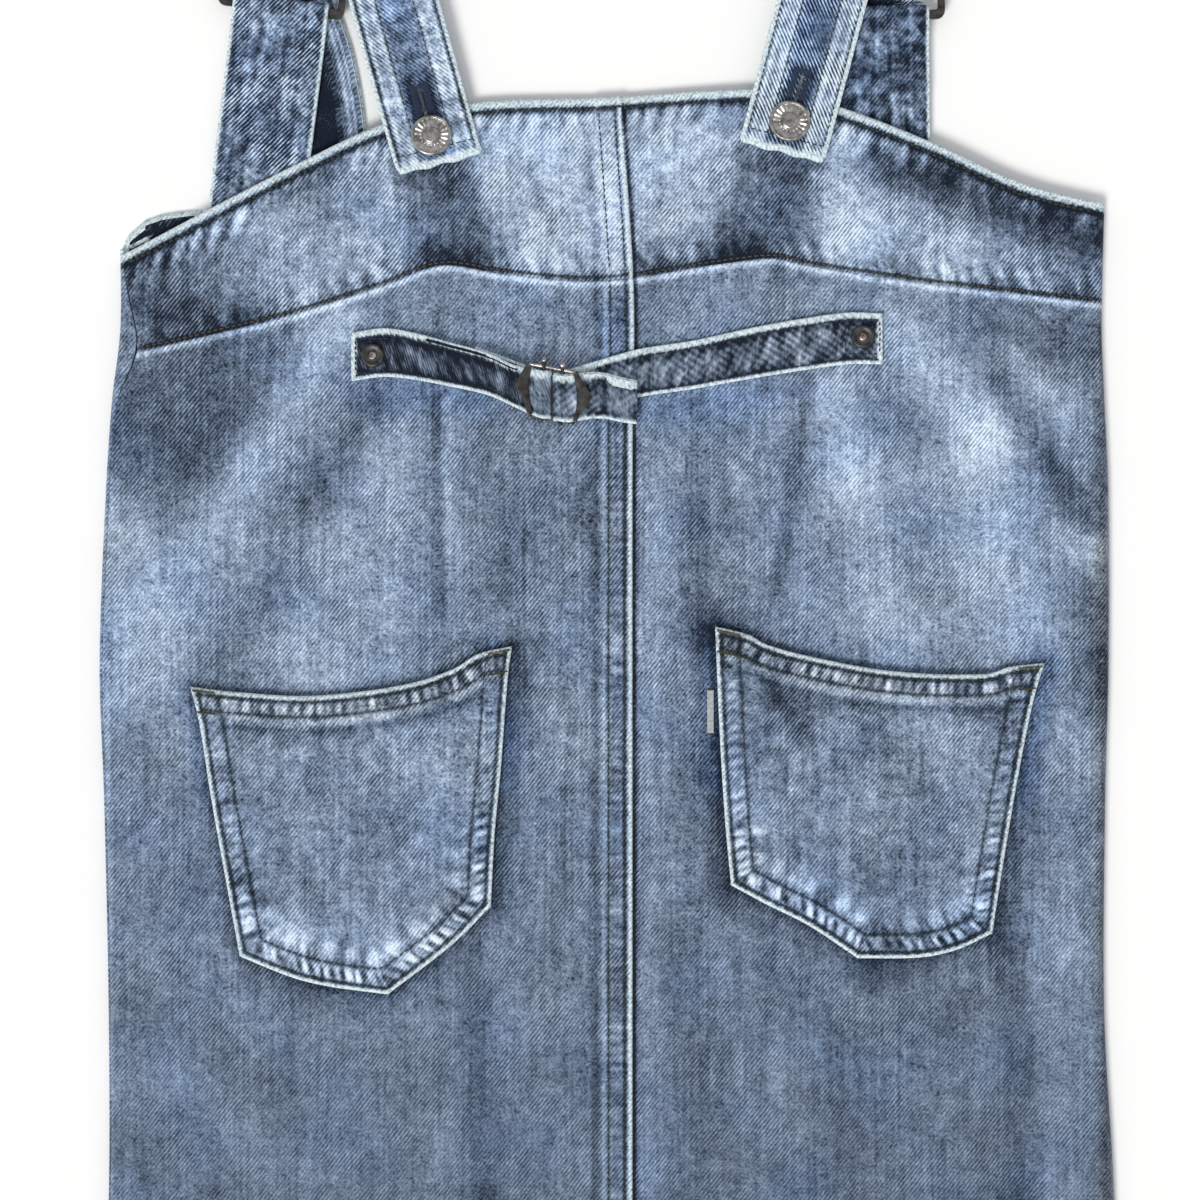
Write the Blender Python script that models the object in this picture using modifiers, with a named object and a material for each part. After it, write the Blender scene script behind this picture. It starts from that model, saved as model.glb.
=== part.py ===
"""Denim suspender skirt, laid flat with its back upward.

Every cloth piece is a thin wall. A panel is a grid on the garment's outer surface, thickened inwards.
A strap is a ribbon along its own route, thickened both ways.
Tables are in millimetres. "across" is measured from the middle of the back, positive to the right,
"down" from the middle of the back's top edge towards the hem, and "height" from the floor.
The model's origin is on the floor, under the middle of its box, with +Y towards the straps.
"""

import math

import bmesh
import bpy
from mathutils import Vector

MM = 0.001

# Driving sizes, in millimetres
BODY_LENGTH = 930.0  # top edge of the back to the hem
STRAP_RISE = 201.0  # fold of the shoulder straps above the top edge
CLOTH = 1.3  # one layer of denim
GAP = 0.3  # between pieces that touch
ROLL_GAP = 1.0  # side seam, on the outside of the tight roll, which leaves GAP inside
SIDE_FOLD = 3.05  # outer radius of the roll at each side
HEM = 20.0  # turned-up hem
POCKET_HEM = 16.0
LIFT_LEAST = 2 * CLOTH + GAP  # the back's outer surface where it lies on the front
LIFT_MOST = 6.5
LIFT_REST = 4.3  # usual height of the back's outer surface
SEAM_BAND = (-1.1, 10.3)  # felled centre seam, left and right edge
SEAM_RISE = 0.9
# How far the centre seam lies off its straight line: down, shift
SEAM_LEAN = [(0, -4.6), (12, -4.0), (45, -1.6), (78, 0.4), (111, 0.9), (140, 0.2), (180, 0.0)]
STRAP_WIDTH = 38.5
STRAP_CLOTH = 2.6
TAB_WIDTH = 42.0
TAB_SEWN_DOWN = 57.0
SLIDER_WIDTH = 56.0
SLIDER_PITCH = 17.0  # between the slider's bars
SLIDER_BAR = 4.0
SLIDER_PLATE = 2.0
SLIDER_HEIGHT = 5.5  # middle of the plate above the floor
CINCH_WIDTH = 21.6
CINCH_CLOTH = 1.6
BUTTON_RADIUS = 9.0
RIVET_RADIUS = 5.25

# Half widths of the skirt as it lies: down, left, right
OUTLINE = [
    (47, 215.5, 218.7),
    (100, 214.8, 217.4),
    (134, 218.6, 218.7),
    (175, 221.3, 220.4),
    (250, 224.0, 220.5),
    (310, 222.0, 219.0),
    (403, 220.0, 218.6),
    (485, 220.0, 223.0),
    (700, 226.5, 228.5),
    (930, 233.0, 233.0),
]
# Edges that run across the garment: across, down
BACK_TOP = [
    (-216, 71),
    (-180, 52),
    (-134, 28.5),
    (-100, 12.5),
    (-60, 2.6),
    (0, 0),
    (62, -3.3),
    (84, 0.5),
    (103, 5),
    (142, 20),
    (182, 38),
    (219, 47.5),
]
FRONT_TOP = [
    (-216, 71),
    (-213, 63),
    (-207, 56.5),
    (-200, 52.6),
    (-177, 49.5),
    (-120, 46),
    (0, 44),
    (120, 43),
    (190, 42),
    (212, 46),
    (219, 47.5),
]
YOKE_SEAM = [
    (-214, 114),
    (-183, 106.5),
    (-140, 96),
    (-99, 83),
    (-73, 74),
    (-48, 77.5),
    (-4, 80.7),
    (50, 73.3),
    (73.5, 71),
    (87, 74),
    (130, 80.7),
    (176, 86),
    (219, 91),
]
HEM_LINE = [(-233, 922), (-120, 928), (0, BODY_LENGTH), (120, 928), (233, 922)]
# How far the left side seam lies in from the edge of the shape: down, inset
LEFT_SEAM_INSET = [(71, 0.6), (90, 4.4), (112, 8.4), (135, 2.7), (208, 1.8), (300, 1.0), (930, 0.8)]
RIGHT_SEAM_ANGLE = math.radians(100)

# Height of the back's outer surface over the yoke, where straps hold it up: across, height
YOKE_HEIGHT = [
    (-215, 6.1),
    (-177, 7.0),
    (-135, 7.8),
    (-105, 6.4),
    (-60, 4.6),
    (0, 3.9),
    (45, 4.6),
    (75, 5.9),
    (98, 6.9),
    (141, 6.9),
    (180, 6.4),
    (218, 6.1),
]
# Largest folds of the back: start across, start down, end across, end down, half width at start, at end, rise
FOLDS = [
    (-92, 104, -150, 142, 12, 17, 1.3),
    (-150, 142, -208, 262, 17, 20, 2.0),
    (-182, 148, -176, 168, 22, 20, -1.2),
    (-121, 133, -156, 232, 9, 13, -2.0),
    (-84, 134, -122, 245, 11, 24, 2.0),
    (-73, 122, -74, 236, 8, 9, -2.8),
    (-30, 150, -34, 240, 26, 30, 1.3),
    (88, 120, 75, 220, 8, 9, -2.6),
    (108, 122, 102, 240, 12, 18, 2.0),
    (124, 100, 176, 143, 11, 15, 1.5),
    (176, 143, 200, 250, 15, 17, 1.8),
    (131, 140, 147, 232, 11, 14, -1.8),
    (33, 150, 35, 560, 11, 12, -1.2),
    (18, 150, 19, 560, 9, 10, 0.8),
    (-54, 380, -50, 925, 11, 16, -1.4),
    (-92, 430, -100, 925, 24, 32, 1.3),
    (182, 370, 190, 925, 10, 15, -1.9),
    (160, 400, 164, 925, 15, 22, 1.2),
    (72, 430, 84, 925, 26, 34, 1.2),
    (-160, 470, -168, 925, 14, 20, -1.2),
]
FOLD_FADE = 26.0

# Pocket edges, each from left to right or from top to bottom: across, down
LEFT_POCKET = {
    "top": [(-183.5, 259.6), (-163.2, 261.8), (-133.8, 263.6), (-106.5, 261.4), (-84.5, 257.4), (-67.8, 251.5), (-57.2, 245.1), (-42.2, 241.6)],
    "left": [(-183.5, 259.6), (-180.0, 273.9), (-174.2, 310.2), (-161.9, 378.0)],
    "right": [(-42.2, 241.6), (-44.0, 255.2), (-47.1, 295.7), (-49.7, 323.0), (-51.5, 356.0)],
    "bottom": [(-161.9, 378.0), (-139.0, 387.2), (-122.8, 391.2), (-96.8, 394.7), (-67.8, 372.2), (-51.5, 356.0)],
    "tip": (-96.8, 394.7),
}
RIGHT_POCKET = {
    "top": [(47.1, 233.0), (62.0, 236.7), (69.3, 240.7), (88.0, 246.0), (124.5, 252.6), (165.9, 253.9), (176.4, 250.8), (191.8, 249.0)],
    "left": [(47.1, 233.0), (49.0, 277.6), (51.5, 319.0), (54.1, 346.7)],
    "right": [(191.8, 249.0), (187.7, 262.2), (180.4, 298.3), (174.2, 334.8), (169.0, 367.8)],
    "bottom": [(54.1, 346.7), (70.4, 355.5), (88.0, 364.3), (109.8, 378.8), (137.7, 378.4), (153.6, 374.9), (169.0, 367.8)],
    "tip": (109.8, 378.8),
}
POCKET_TAB = {"across": (43.6, 46.6), "down": (260.9, 279.8), "thick": 1.1}

# Shoulder straps, buttoned end first: across, down, height of the middle, lean in degrees, steps to the next row
LEFT_STRAP = [
    (-74.1, 29.3, 0.0, 14.3, 5),
    (-82.9, -2.0, 7.2, 14.3, 4),
    (-94.2, -42.7, 8.2, 14.3, 3),
    (-104.0, -80.0, 8.2, 14.3, 4),
    (-118.0, -130.0, 7.0, 13.0, 5),
    (-132.5, -194.8, 6.3, 9.0, 0),
    (-134.5, -194.8, 1.35, 4.0, 4),
    (-137.5, -120.0, 1.35, -2.0, 2),
    (-138.6, -92.0, 1.6, -5.0, 2),
    (-139.2, -76.5, 2.8, -7.1, 1),
    (-139.2, -70.4, 2.8, -7.1, 5),
    (-139.3, -59.2, 8.1, -7.1, 1),
    (-139.3, -53.4, 8.1, -7.1, 5),
    (-138.9, -43.9, 1.35, -7.1, 2),
    (-136.0, -35.0, 1.35, -4.0, 2),
    (-131.0, -16.0, 1.35, 4.0, 2),
    (-126.7, 8.0, 1.35, 6.5, 2),
    (-124.6, 30.5, 1.35, 6.5, 0),
]
RIGHT_STRAP = [
    (76.5, 24.1, 0.0, -14.7, 5),
    (84.5, -6.0, 9.3, -14.7, 3),
    (94.2, -42.7, 11.0, -14.7, 3),
    (104.0, -80.0, 11.0, -14.7, 4),
    (117.5, -130.0, 8.6, -13.5, 5),
    (133.8, -194.8, 6.3, -11.0, 0),
    (133.0, -194.8, 1.35, -6.0, 4),
    (126.0, -120.0, 1.35, -4.0, 2),
    (122.3, -89.0, 1.6, -1.0, 2),
    (121.0, -73.5, 2.8, 0.8, 1),
    (120.9, -67.2, 2.8, 0.8, 5),
    (120.4, -55.9, 8.1, 0.8, 1),
    (120.3, -50.1, 8.1, 0.8, 5),
    (119.9, -40.7, 1.35, 0.8, 2),
    (119.0, -31.0, 1.35, 1.0, 2),
    (117.4, -18.0, 1.35, 2.0, 1),
    (116.4, -5.0, 1.35, 2.0, 0),
]
STRAP_FOLD_ROW = 5  # the row before the fold over the shoulder
# Buttonhole and button of each strap: across and down of the button
BUTTONS = {"left": (-77.6, 17.6), "right": (79.6, 11.5)}
BUTTONHOLE_LENGTH = 24.0
BUTTONHOLE_SLOT = 1.4
SHANK_RADIUS = 2.0

# Front strap tabs: middle of the sewn end, middle of the slider's lower bar, lean, end of the strap tail above them
TABS = {
    "left": {"sewn": (-157.8, TAB_SEWN_DOWN), "bar": (-143.9, -39.2), "lean": -7.1, "tail_end": 30.5},
    "right": {"sewn": (119.9, TAB_SEWN_DOWN), "bar": (120.1, -35.9), "lean": 0.8, "tail_end": -5.0},
}

# Cinch straps, riveted end first: across, down, level of the middle above the cloth, width, steps to the next row
BAR_WIDTH = 5.0
BAR_THICK = 1.2
LEFT_BAR = -29.5
RIGHT_BAR = -19.4
LOWER_LEG = GAP + CINCH_CLOTH / 2
LEG_PITCH = CINCH_CLOTH + 2 * GAP + BAR_THICK  # the strap's two legs on either side of a buckle bar
LEFT_CINCH = [
    (-112.4, 114.4, LOWER_LEG, 21.4, 4),
    (-96.4, 112.6, LOWER_LEG, 21.4, 4),
    (-71.7, 117.2, LOWER_LEG + 0.6, 19.6, 3),
    (-52.0, 122.5, LOWER_LEG + LEG_PITCH, 18.5, 3),
    (-41.0, 127.5, LOWER_LEG + LEG_PITCH, 18.5, 4),
    (LEFT_BAR, 131.3, LOWER_LEG + LEG_PITCH, 21.2, 0),
]
LEFT_CINCH_RETURN = -58.0
RIGHT_CINCH = [
    (120.2, 106.6, LOWER_LEG, 22.4, 3),
    (104.5, 106.5, LOWER_LEG, 22.8, 5),
    (69.5, 111.6, LOWER_LEG, 22.6, 5),
    (37.6, 117.8, LOWER_LEG, 21.4, 4),
    (13.6, 121.6, LOWER_LEG, 21.2, 4),
    (-6.0, 127.0, LOWER_LEG, 21.0, 3),
    (RIGHT_BAR, 131.3, LOWER_LEG, 21.2, 0),
]
RIGHT_CINCH_TAIL = [(-6.5, 131.6), (12.0, 132.4)]
BUCKLE = {"across": (-41.0, -7.0), "down": 131.3, "height": 26.0, "plate": 1.0, "window": 22.2}
RIVETS = {"left": (-103.4, 114.0), "right": (111.8, 105.8)}

COLOURS = {
    "denim": (0.24, 0.31, 0.42),
    "tab_cloth": (0.62, 0.64, 0.66),
    "bronze": (0.055, 0.052, 0.050),
    "nickel": (0.40, 0.40, 0.41),
}


def place(across, down, height):
    """A point of the garment, in the model's own frame."""
    middle_down = (BODY_LENGTH - STRAP_RISE) / 2
    return Vector((across, middle_down - down, height)) * MM


def smoothstep(value, low, high):
    share = min(1.0, max(0.0, (value - low) / (high - low)))
    return share * share * (3 - 2 * share)


def read(table, at, column=1):
    """A table's column between its rows, on a smooth curve through them."""
    if at <= table[0][0]:
        return table[0][column]
    if at >= table[-1][0]:
        return table[-1][column]
    row = max(i for i, entry in enumerate(table) if entry[0] <= at)
    slopes = []
    for i in (row, row + 1):
        before, after = table[max(0, i - 1)], table[min(len(table) - 1, i + 1)]
        slopes.append((after[column] - before[column]) / (after[0] - before[0]))
    span = table[row + 1][0] - table[row][0]
    t = (at - table[row][0]) / span
    start, end = table[row][column], table[row + 1][column]
    return (
        start * (1 + 2 * t) * (1 - t) ** 2
        + end * t * t * (3 - 2 * t)
        + slopes[0] * span * t * (1 - t) ** 2
        - slopes[1] * span * t * t * (1 - t)
    )


# ---------------------------------------------------------------- the garment's surface


def flat_edge(side, down):
    """Where the flat of the back turns into the side roll, as a distance from the middle."""
    return read(OUTLINE, down, 1 if side < 0 else 2) - SIDE_FOLD


def fold_height(across, down):
    """What the largest folds add to the back's height."""
    total = 0.0
    for start_a, start_d, end_a, end_d, wide_start, wide_end, rise in FOLDS:
        run_a, run_d = end_a - start_a, end_d - start_d
        length = math.hypot(run_a, run_d)
        along = ((across - start_a) * run_a + (down - start_d) * run_d) / length
        aside = abs((across - start_a) * run_d - (down - start_d) * run_a) / length
        share = min(1.0, max(0.0, along / length))
        half = wide_start + (wide_end - wide_start) * share
        beyond = max(0.0, -along, along - length) / FOLD_FADE
        reach = math.hypot(aside / half, beyond)
        if reach < 1.6:
            total += rise * (0.5 + 0.5 * math.cos(math.pi * reach / 1.6))
    return total


def back_height(across, down):
    """Height of the back's outer surface, without the raised centre seam."""
    edge = flat_edge(across, down)
    yoke = read(YOKE_HEIGHT, across)
    body = LIFT_REST + fold_height(across, down)
    body = min(LIFT_MOST, max(LIFT_LEAST + 0.2, body))
    share = smoothstep(down, 60, 118)
    height = yoke + (body - yoke) * share
    hem = smoothstep(down, BODY_LENGTH - 2.2 * HEM, BODY_LENGTH - 1.2 * HEM)
    height += (max(height, 4 * CLOTH + 2 * GAP) - height) * hem
    side = smoothstep(abs(across), edge - 42, edge - 2)
    return height + (2 * SIDE_FOLD - height) * side


def band(down):
    """Left and right edge of the centre seam."""
    shift = read(SEAM_LEAN, down)
    return SEAM_BAND[0] + shift, SEAM_BAND[1] + shift


def back_top(across, down):
    """Height of the back with its centre seam band, which other pieces lie on."""
    left, right = band(down)
    inside = smoothstep(across, left - 1.2, left) * (across < right + GAP)
    return back_height(across, down) + SEAM_RISE * inside


def tube(girth, down):
    """Outer surface all round: girth runs from the middle of the back, over a side roll, to the front."""
    side = -1 if girth < 0 else 1
    edge = flat_edge(side, down)
    beyond = abs(girth) - edge
    if beyond <= 0:
        return girth, back_height(girth, down)
    if beyond < math.pi * SIDE_FOLD:
        turn = beyond / SIDE_FOLD
        return side * (edge + SIDE_FOLD * math.sin(turn)), SIDE_FOLD * (1 + math.cos(turn))
    return side * (edge - (beyond - math.pi * SIDE_FOLD)), 0.0


def seam_girth(side, down):
    """Girth of a side seam."""
    edge = flat_edge(side, down)
    if side > 0:
        return edge + SIDE_FOLD * RIGHT_SEAM_ANGLE
    inset = read(LEFT_SEAM_INSET, down)
    if inset > SIDE_FOLD:
        return edge - (inset - SIDE_FOLD)
    return edge + SIDE_FOLD * math.asin(1 - inset / SIDE_FOLD)


# ---------------------------------------------------------------- making pieces

collection = None
materials = {}


def start_scene():
    global collection
    for thing in list(bpy.data.objects):
        bpy.data.objects.remove(thing)
    collection = bpy.data.collections.new("suspender_skirt")
    bpy.context.scene.collection.children.link(collection)
    for name, (colour, rough, metal) in {
        "denim": (COLOURS["denim"], 0.9, 0.0),
        "tab_cloth": (COLOURS["tab_cloth"], 0.8, 0.0),
        "bronze": (COLOURS["bronze"], 0.4, 1.0),
        "nickel": (COLOURS["nickel"], 0.35, 1.0),
    }.items():
        material = bpy.data.materials.new(name)
        material.use_nodes = True
        shader = material.node_tree.nodes["Principled BSDF"]
        shader.inputs["Base Color"].default_value = (*colour, 1)
        shader.inputs["Roughness"].default_value = rough
        shader.inputs["Metallic"].default_value = metal
        materials[name] = material


def add_object(name, data, material):
    thing = bpy.data.objects.new(name, data)
    collection.objects.link(thing)
    data.materials.append(materials[material])
    return thing


def shade(mesh, angle=math.radians(40)):
    mesh.shade_smooth()
    mesh.set_sharp_from_angle(angle=angle)


def grid_mesh(name, sections):
    """A grid whose rows of points are the sections, listed from the top and from the left."""
    rows, columns = len(sections) - 1, len(sections[0]) - 1
    grid = bmesh.new()
    bmesh.ops.create_grid(grid, x_segments=columns, y_segments=rows, size=0.5)
    for vertex in grid.verts:
        column = round((vertex.co.x + 0.5) * columns)
        row = round((0.5 - vertex.co.y) * rows)
        vertex.co = sections[row][column]
    mesh = bpy.data.meshes.new(name)
    grid.to_mesh(mesh)
    grid.free()
    shade(mesh)
    return mesh


def cloth(name, sections, offset, thickness, doubled=None, material="denim"):
    """A wall of cloth on a grid. doubled says which grid points carry two layers."""
    mesh = grid_mesh(name, sections)
    piece = add_object(name, mesh, material)
    wall = piece.modifiers.new("wall", "SOLIDIFY")
    wall.offset = offset
    wall.use_even_offset = True
    wall.thickness = thickness * MM
    if doubled is not None:
        wall.thickness = 2 * thickness * MM
        layers = piece.vertex_groups.new(name="layers")
        rows, columns = len(sections), len(sections[0])
        for index in range(len(mesh.vertices)):
            row = rows - 1 - index // columns
            layers.add([index], 1.0 if doubled(row, index % columns) else 0.5, "REPLACE")
        wall.vertex_group = "layers"
    return piece


def ribbon(name, stations, thickness, columns=4, under=None, resting=0):
    """A strap along stations of across, down, height, lean and width.
    under gives the height that its first stations, as many as resting says, lie on."""
    sections = []
    for index, (across, down, height, lean, width) in enumerate(stations):
        section = []
        for column in range(columns + 1):
            aside = width * (column / columns - 0.5)
            a = across + aside * math.cos(lean)
            d = down - aside * math.sin(lean)
            lift = height
            if index < resting:
                lift = max(height, under(a, d) + GAP + thickness / 2)
            section.append(place(a, d, lift))
        sections.append(section)
    return cloth(name, sections, 0.0, thickness)


def route(table, columns):
    """Stations along a table whose last column is the number of steps to the next row.
    The plan is a smooth curve, and the height eases from row to row."""
    lengths = [0.0]
    for here, there in zip(table, table[1:]):
        lengths.append(lengths[-1] + max(1.0, math.hypot(there[0] - here[0], there[1] - here[1])))
    keyed = [(length, *row) for length, row in zip(lengths, table)]
    stations = []
    for i, row in enumerate(table):
        steps = row[-1] if i + 1 < len(table) else 1
        for step in range(steps):
            share = step / steps
            reach = lengths[i] + share * (lengths[min(i + 1, len(table) - 1)] - lengths[i])
            values = [read(keyed, reach, column + 1) for column in range(columns)]
            if i + 1 < len(table):
                values[2] = row[2] + (table[i + 1][2] - row[2]) * smoothstep(share, 0, 1)
            stations.append(values)
    return stations


def turned(name, profile, across, down, height, material, steps=24):
    """A turned piece: its profile is radius and height, from the top of its axis down its outer side."""
    mesh = bpy.data.meshes.new(name)
    outline = bmesh.new()
    points = [outline.verts.new((radius * MM, 0, up * MM)) for radius, up in profile]
    for here, there in zip(points, points[1:]):
        outline.edges.new((here, there))
    outline.to_mesh(mesh)
    outline.free()
    piece = add_object(name, mesh, material)
    piece.location = place(across, down, height)
    screw = piece.modifiers.new("turn", "SCREW")
    screw.steps = steps
    screw.render_steps = steps
    screw.use_merge_vertices = True
    screw.merge_threshold = 0.00001
    screw.use_smooth_shade = True
    return piece


def cutter(name, mesh, location, turn=0.0):
    """A hidden solid that shapes another."""
    tool = bpy.data.objects.new(name, mesh)
    cutters.objects.link(tool)
    tool.location = location
    tool.rotation_euler = (0, 0, turn)
    tool.hide_render = True
    tool.display_type = "WIRE"
    return tool


def box_mesh(name, width, length, height):
    solid = bmesh.new()
    bmesh.ops.create_cube(solid, size=1)
    bmesh.ops.scale(solid, vec=Vector((width, length, height)) * MM, verts=solid.verts)
    mesh = bpy.data.meshes.new(name)
    solid.to_mesh(mesh)
    solid.free()
    return mesh


def rod_mesh(name, radius, height, segments=20):
    solid = bmesh.new()
    bmesh.ops.create_cone(
        solid, cap_ends=True, segments=segments, radius1=radius * MM, radius2=radius * MM, depth=height * MM
    )
    mesh = bpy.data.meshes.new(name)
    solid.to_mesh(mesh)
    solid.free()
    return mesh


def boolean(piece, tool, operation):
    step = piece.modifiers.new(operation.lower(), "BOOLEAN")
    step.operation = operation
    step.object = tool


def flat_plate(name, outlines, thickness, material):
    """A plate from closed outlines: the first is its edge and the others are its windows."""
    curve = bpy.data.curves.new(name, "CURVE")
    curve.dimensions = "2D"
    curve.fill_mode = "BOTH"
    curve.extrude = thickness / 2 * MM
    for outline in outlines:
        spline = curve.splines.new("POLY")
        spline.points.add(len(outline) - 1)
        for point, (x, y) in zip(spline.points, outline):
            point.co = (x * MM, y * MM, 0, 1)
        spline.use_cyclic_u = True
    drawn = bpy.data.objects.new(name + "_outline", curve)
    bpy.context.scene.collection.objects.link(drawn)
    bpy.context.view_layer.update()
    mesh = bpy.data.meshes.new_from_object(drawn.evaluated_get(bpy.context.evaluated_depsgraph_get()))
    bpy.data.objects.remove(drawn)
    welded = bmesh.new()
    welded.from_mesh(mesh)
    bmesh.ops.remove_doubles(welded, verts=welded.verts, dist=0.00001)
    welded.to_mesh(mesh)
    welded.free()
    mesh.materials.clear()
    mesh.name = name
    return add_object(name, mesh, material)


def rounded_box(width, height, radius, middle=(0, 0), steps=4):
    """Outline of a rectangle with round corners."""
    outline = []
    for corner, (sx, sy) in enumerate([(1, 1), (-1, 1), (-1, -1), (1, -1)]):
        for step in range(steps + 1):
            angle = (corner + step / steps) * math.pi / 2
            outline.append(
                (
                    middle[0] + sx * (width / 2 - radius) + radius * math.cos(angle),
                    middle[1] + sy * (height / 2 - radius) + radius * math.sin(angle),
                )
            )
    return outline


# ---------------------------------------------------------------- panels

ROLL_STEPS = [0, 0.8, 1.7, 3.0, 5.0, 8.0, 12.0]  # columns near a side seam, counted from the seam


def stops_to_seam(start, seam, count):
    """Columns from near the middle to a side seam, close together on the side roll."""
    inner = seam - ROLL_STEPS[-1]
    even = [start + (inner - start) * i / count for i in range(count)]
    return even + [seam - step for step in reversed(ROLL_STEPS)]


def back_columns(side, down):
    """Girths of a back panel's columns, from its middle edge to its side seam."""
    seam = seam_girth(side, down) - ROLL_GAP / 2
    left, right = band(down)
    if side > 0:
        return [right + GAP] + stops_to_seam(right + GAP + 6, seam, 14)
    return [-right, -left, -left + 1.2] + stops_to_seam(-left + 8, seam, 15)


def column_down(edge, girth, down):
    """An edge's place at a column, whose girth may lie on the side roll."""
    across, _ = tube(girth, down)
    return read(edge, across)


def back_panel(name, side, upper, lower, row_shares, hem=False):
    sections = []
    for i, share in enumerate(row_shares):
        guide = sum(read(edge, side * 110) * weight for edge, weight in ((upper, 1 - share), (lower, share)))
        columns = len(back_columns(side, guide))
        section = []
        for column in range(columns):
            down = guide
            for _ in range(3):
                girth = side * back_columns(side, down)[column]
                top, bottom = column_down(upper, girth, down), column_down(lower, girth, down)
                top += GAP / 2 if upper is YOKE_SEAM else 0
                bottom -= GAP / 2 if lower is YOKE_SEAM else 0
                down = top + (bottom - top) * share
            across, height = tube(girth, down)
            if side < 0 and column < 2:
                height += SEAM_RISE
            section.append(place(across, down, height))
        if side < 0:
            section.reverse()
        sections.append(section)
    count = len(sections[0])
    turned_up = len(row_shares) - (2 if hem else 0)
    rolled = len(ROLL_STEPS)

    def doubled(row, column):
        from_seam = column if side < 0 else count - 1 - column
        return (side < 0 and column >= count - 2) or (row >= turned_up and from_seam >= rolled)

    return cloth(name, sections, -1.0, CLOTH, doubled)


def front_panel(name, upper, lower, row_shares, hem=False):
    """The front lies flat on the floor, and its sides roll up to the side seams."""
    sections = []
    for share in row_shares:
        section = []
        for position in front_positions():
            down = 50 + (lower(0) - 50) * share
            for _ in range(3):
                across, height = front_point(position, down)
                top, bottom = upper(across), lower(across)
                down = top + (bottom - top) * share
            section.append(place(across, down, height))
        sections.append(section)
    turned_up = len(row_shares) - (2 if hem else 0)
    flat = [kind == "flat" for kind, _ in front_positions()]
    return cloth(name, sections, -1.0, CLOTH, lambda row, column: row >= turned_up and flat[column])


def front_positions():
    """Columns of the front from right to left: side and share of the way from the seam to the flat, or a share of the flat."""
    right = [("right", i / 6) for i in range(6)]
    flat = [("flat", i / 5) for i in range(6)]
    left = [("left", 1 - i / 10) for i in range(1, 11)]
    return right + flat + left


def front_point(position, down):
    kind, share = position
    edges = {"right": flat_edge(1, down), "left": flat_edge(-1, down)}
    if kind == "flat":
        inner_right, inner_left = edges["right"] - 1.0, edges["left"] - 1.0
        return inner_right - (inner_right + inner_left) * share, 0.0
    side = 1 if kind == "right" else -1
    seam = seam_girth(side, down) + ROLL_GAP / 2
    flat = edges[kind] + math.pi * SIDE_FOLD + 1.0
    return tube(side * (seam + (flat - seam) * share), down)


def shares(*spans):
    """Row shares from 0 to 1: each span is its end and its number of rows."""
    rows, start = [0.0], 0.0
    for end, count in spans:
        rows += [start + (end - start) * (i + 1) / count for i in range(count)]
        start = end
    return rows


def build_panels():
    hem_start = 1 - HEM / (BODY_LENGTH - 85)
    skirt_rows = shares((0.2, 9), (0.38, 4), (hem_start - 0.004, 7), (hem_start, 1), (1, 1))
    yoke_rows = shares((0.25, 2), (1, 3))
    for side, name in ((-1, "left"), (1, "right")):
        back_panel("back_yoke_" + name, side, BACK_TOP, YOKE_SEAM, yoke_rows)
        back_panel("back_skirt_" + name, side, YOKE_SEAM, HEM_LINE, skirt_rows, hem=True)
    front_rows = shares((0.2, 9), (hem_start - 0.004, 6), (hem_start, 1), (1, 1))
    front_panel(
        "front_yoke", lambda a: read(FRONT_TOP, a), lambda a: read(YOKE_SEAM, a) - GAP / 2, shares((0.4, 2), (1, 3))
    )
    front_panel(
        "front_skirt", lambda a: read(YOKE_SEAM, a) + GAP / 2, lambda a: read(HEM_LINE, a), front_rows, hem=True
    )


# ---------------------------------------------------------------- pockets


def along_edge(edge, share, corner=None):
    """A point at a share of an edge's length. A corner splits it in two, each with its own smooth curve."""
    if corner is not None:
        at = edge.index(corner)
        half = 0.5
        if share <= half:
            return along_edge(edge[: at + 1], share / half)
        return along_edge(edge[at:], (share - half) / half)
    lengths = [0.0]
    for here, there in zip(edge, edge[1:]):
        lengths.append(lengths[-1] + math.dist(here, there))
    keyed = [(length, *point) for length, point in zip(lengths, edge)]
    return read(keyed, share * lengths[-1], 1), read(keyed, share * lengths[-1], 2)


def pocket_point(pocket, u, v):
    """A point of the pocket between its four edges."""
    top, bottom = along_edge(pocket["top"], u), along_edge(pocket["bottom"], u, pocket["tip"])
    left, right = along_edge(pocket["left"], v), along_edge(pocket["right"], v)
    corners = (pocket["top"][0], pocket["top"][-1], pocket["bottom"][0], pocket["bottom"][-1])
    return tuple(
        (1 - v) * top[k]
        + v * bottom[k]
        + (1 - u) * left[k]
        + u * right[k]
        - (1 - u) * (1 - v) * corners[0][k]
        - u * (1 - v) * corners[1][k]
        - (1 - u) * v * corners[2][k]
        - u * v * corners[3][k]
        for k in (0, 1)
    )


def build_pocket(name, pocket):
    columns, depth = 12, 120.0
    hem = POCKET_HEM / depth
    rows = [0, hem, hem + 0.012] + [hem + 0.012 + (1 - hem - 0.012) * (i + 1) / 8 for i in range(8)]
    sections = []
    for v in rows:
        section = []
        for column in range(columns + 1):
            u = column / columns
            across, down = pocket_point(pocket, u, v)
            puff = 1.1 * math.sin(math.pi * u) ** 0.7 * (1 - v) ** 0.6 + 0.15
            section.append(place(across, down, back_top(across, down) + GAP + 2 * CLOTH - CLOTH * (v > hem) + puff))
        sections.append(section)
    cloth(name, sections, -1.0, CLOTH, lambda row, column: row < 2)


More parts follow.
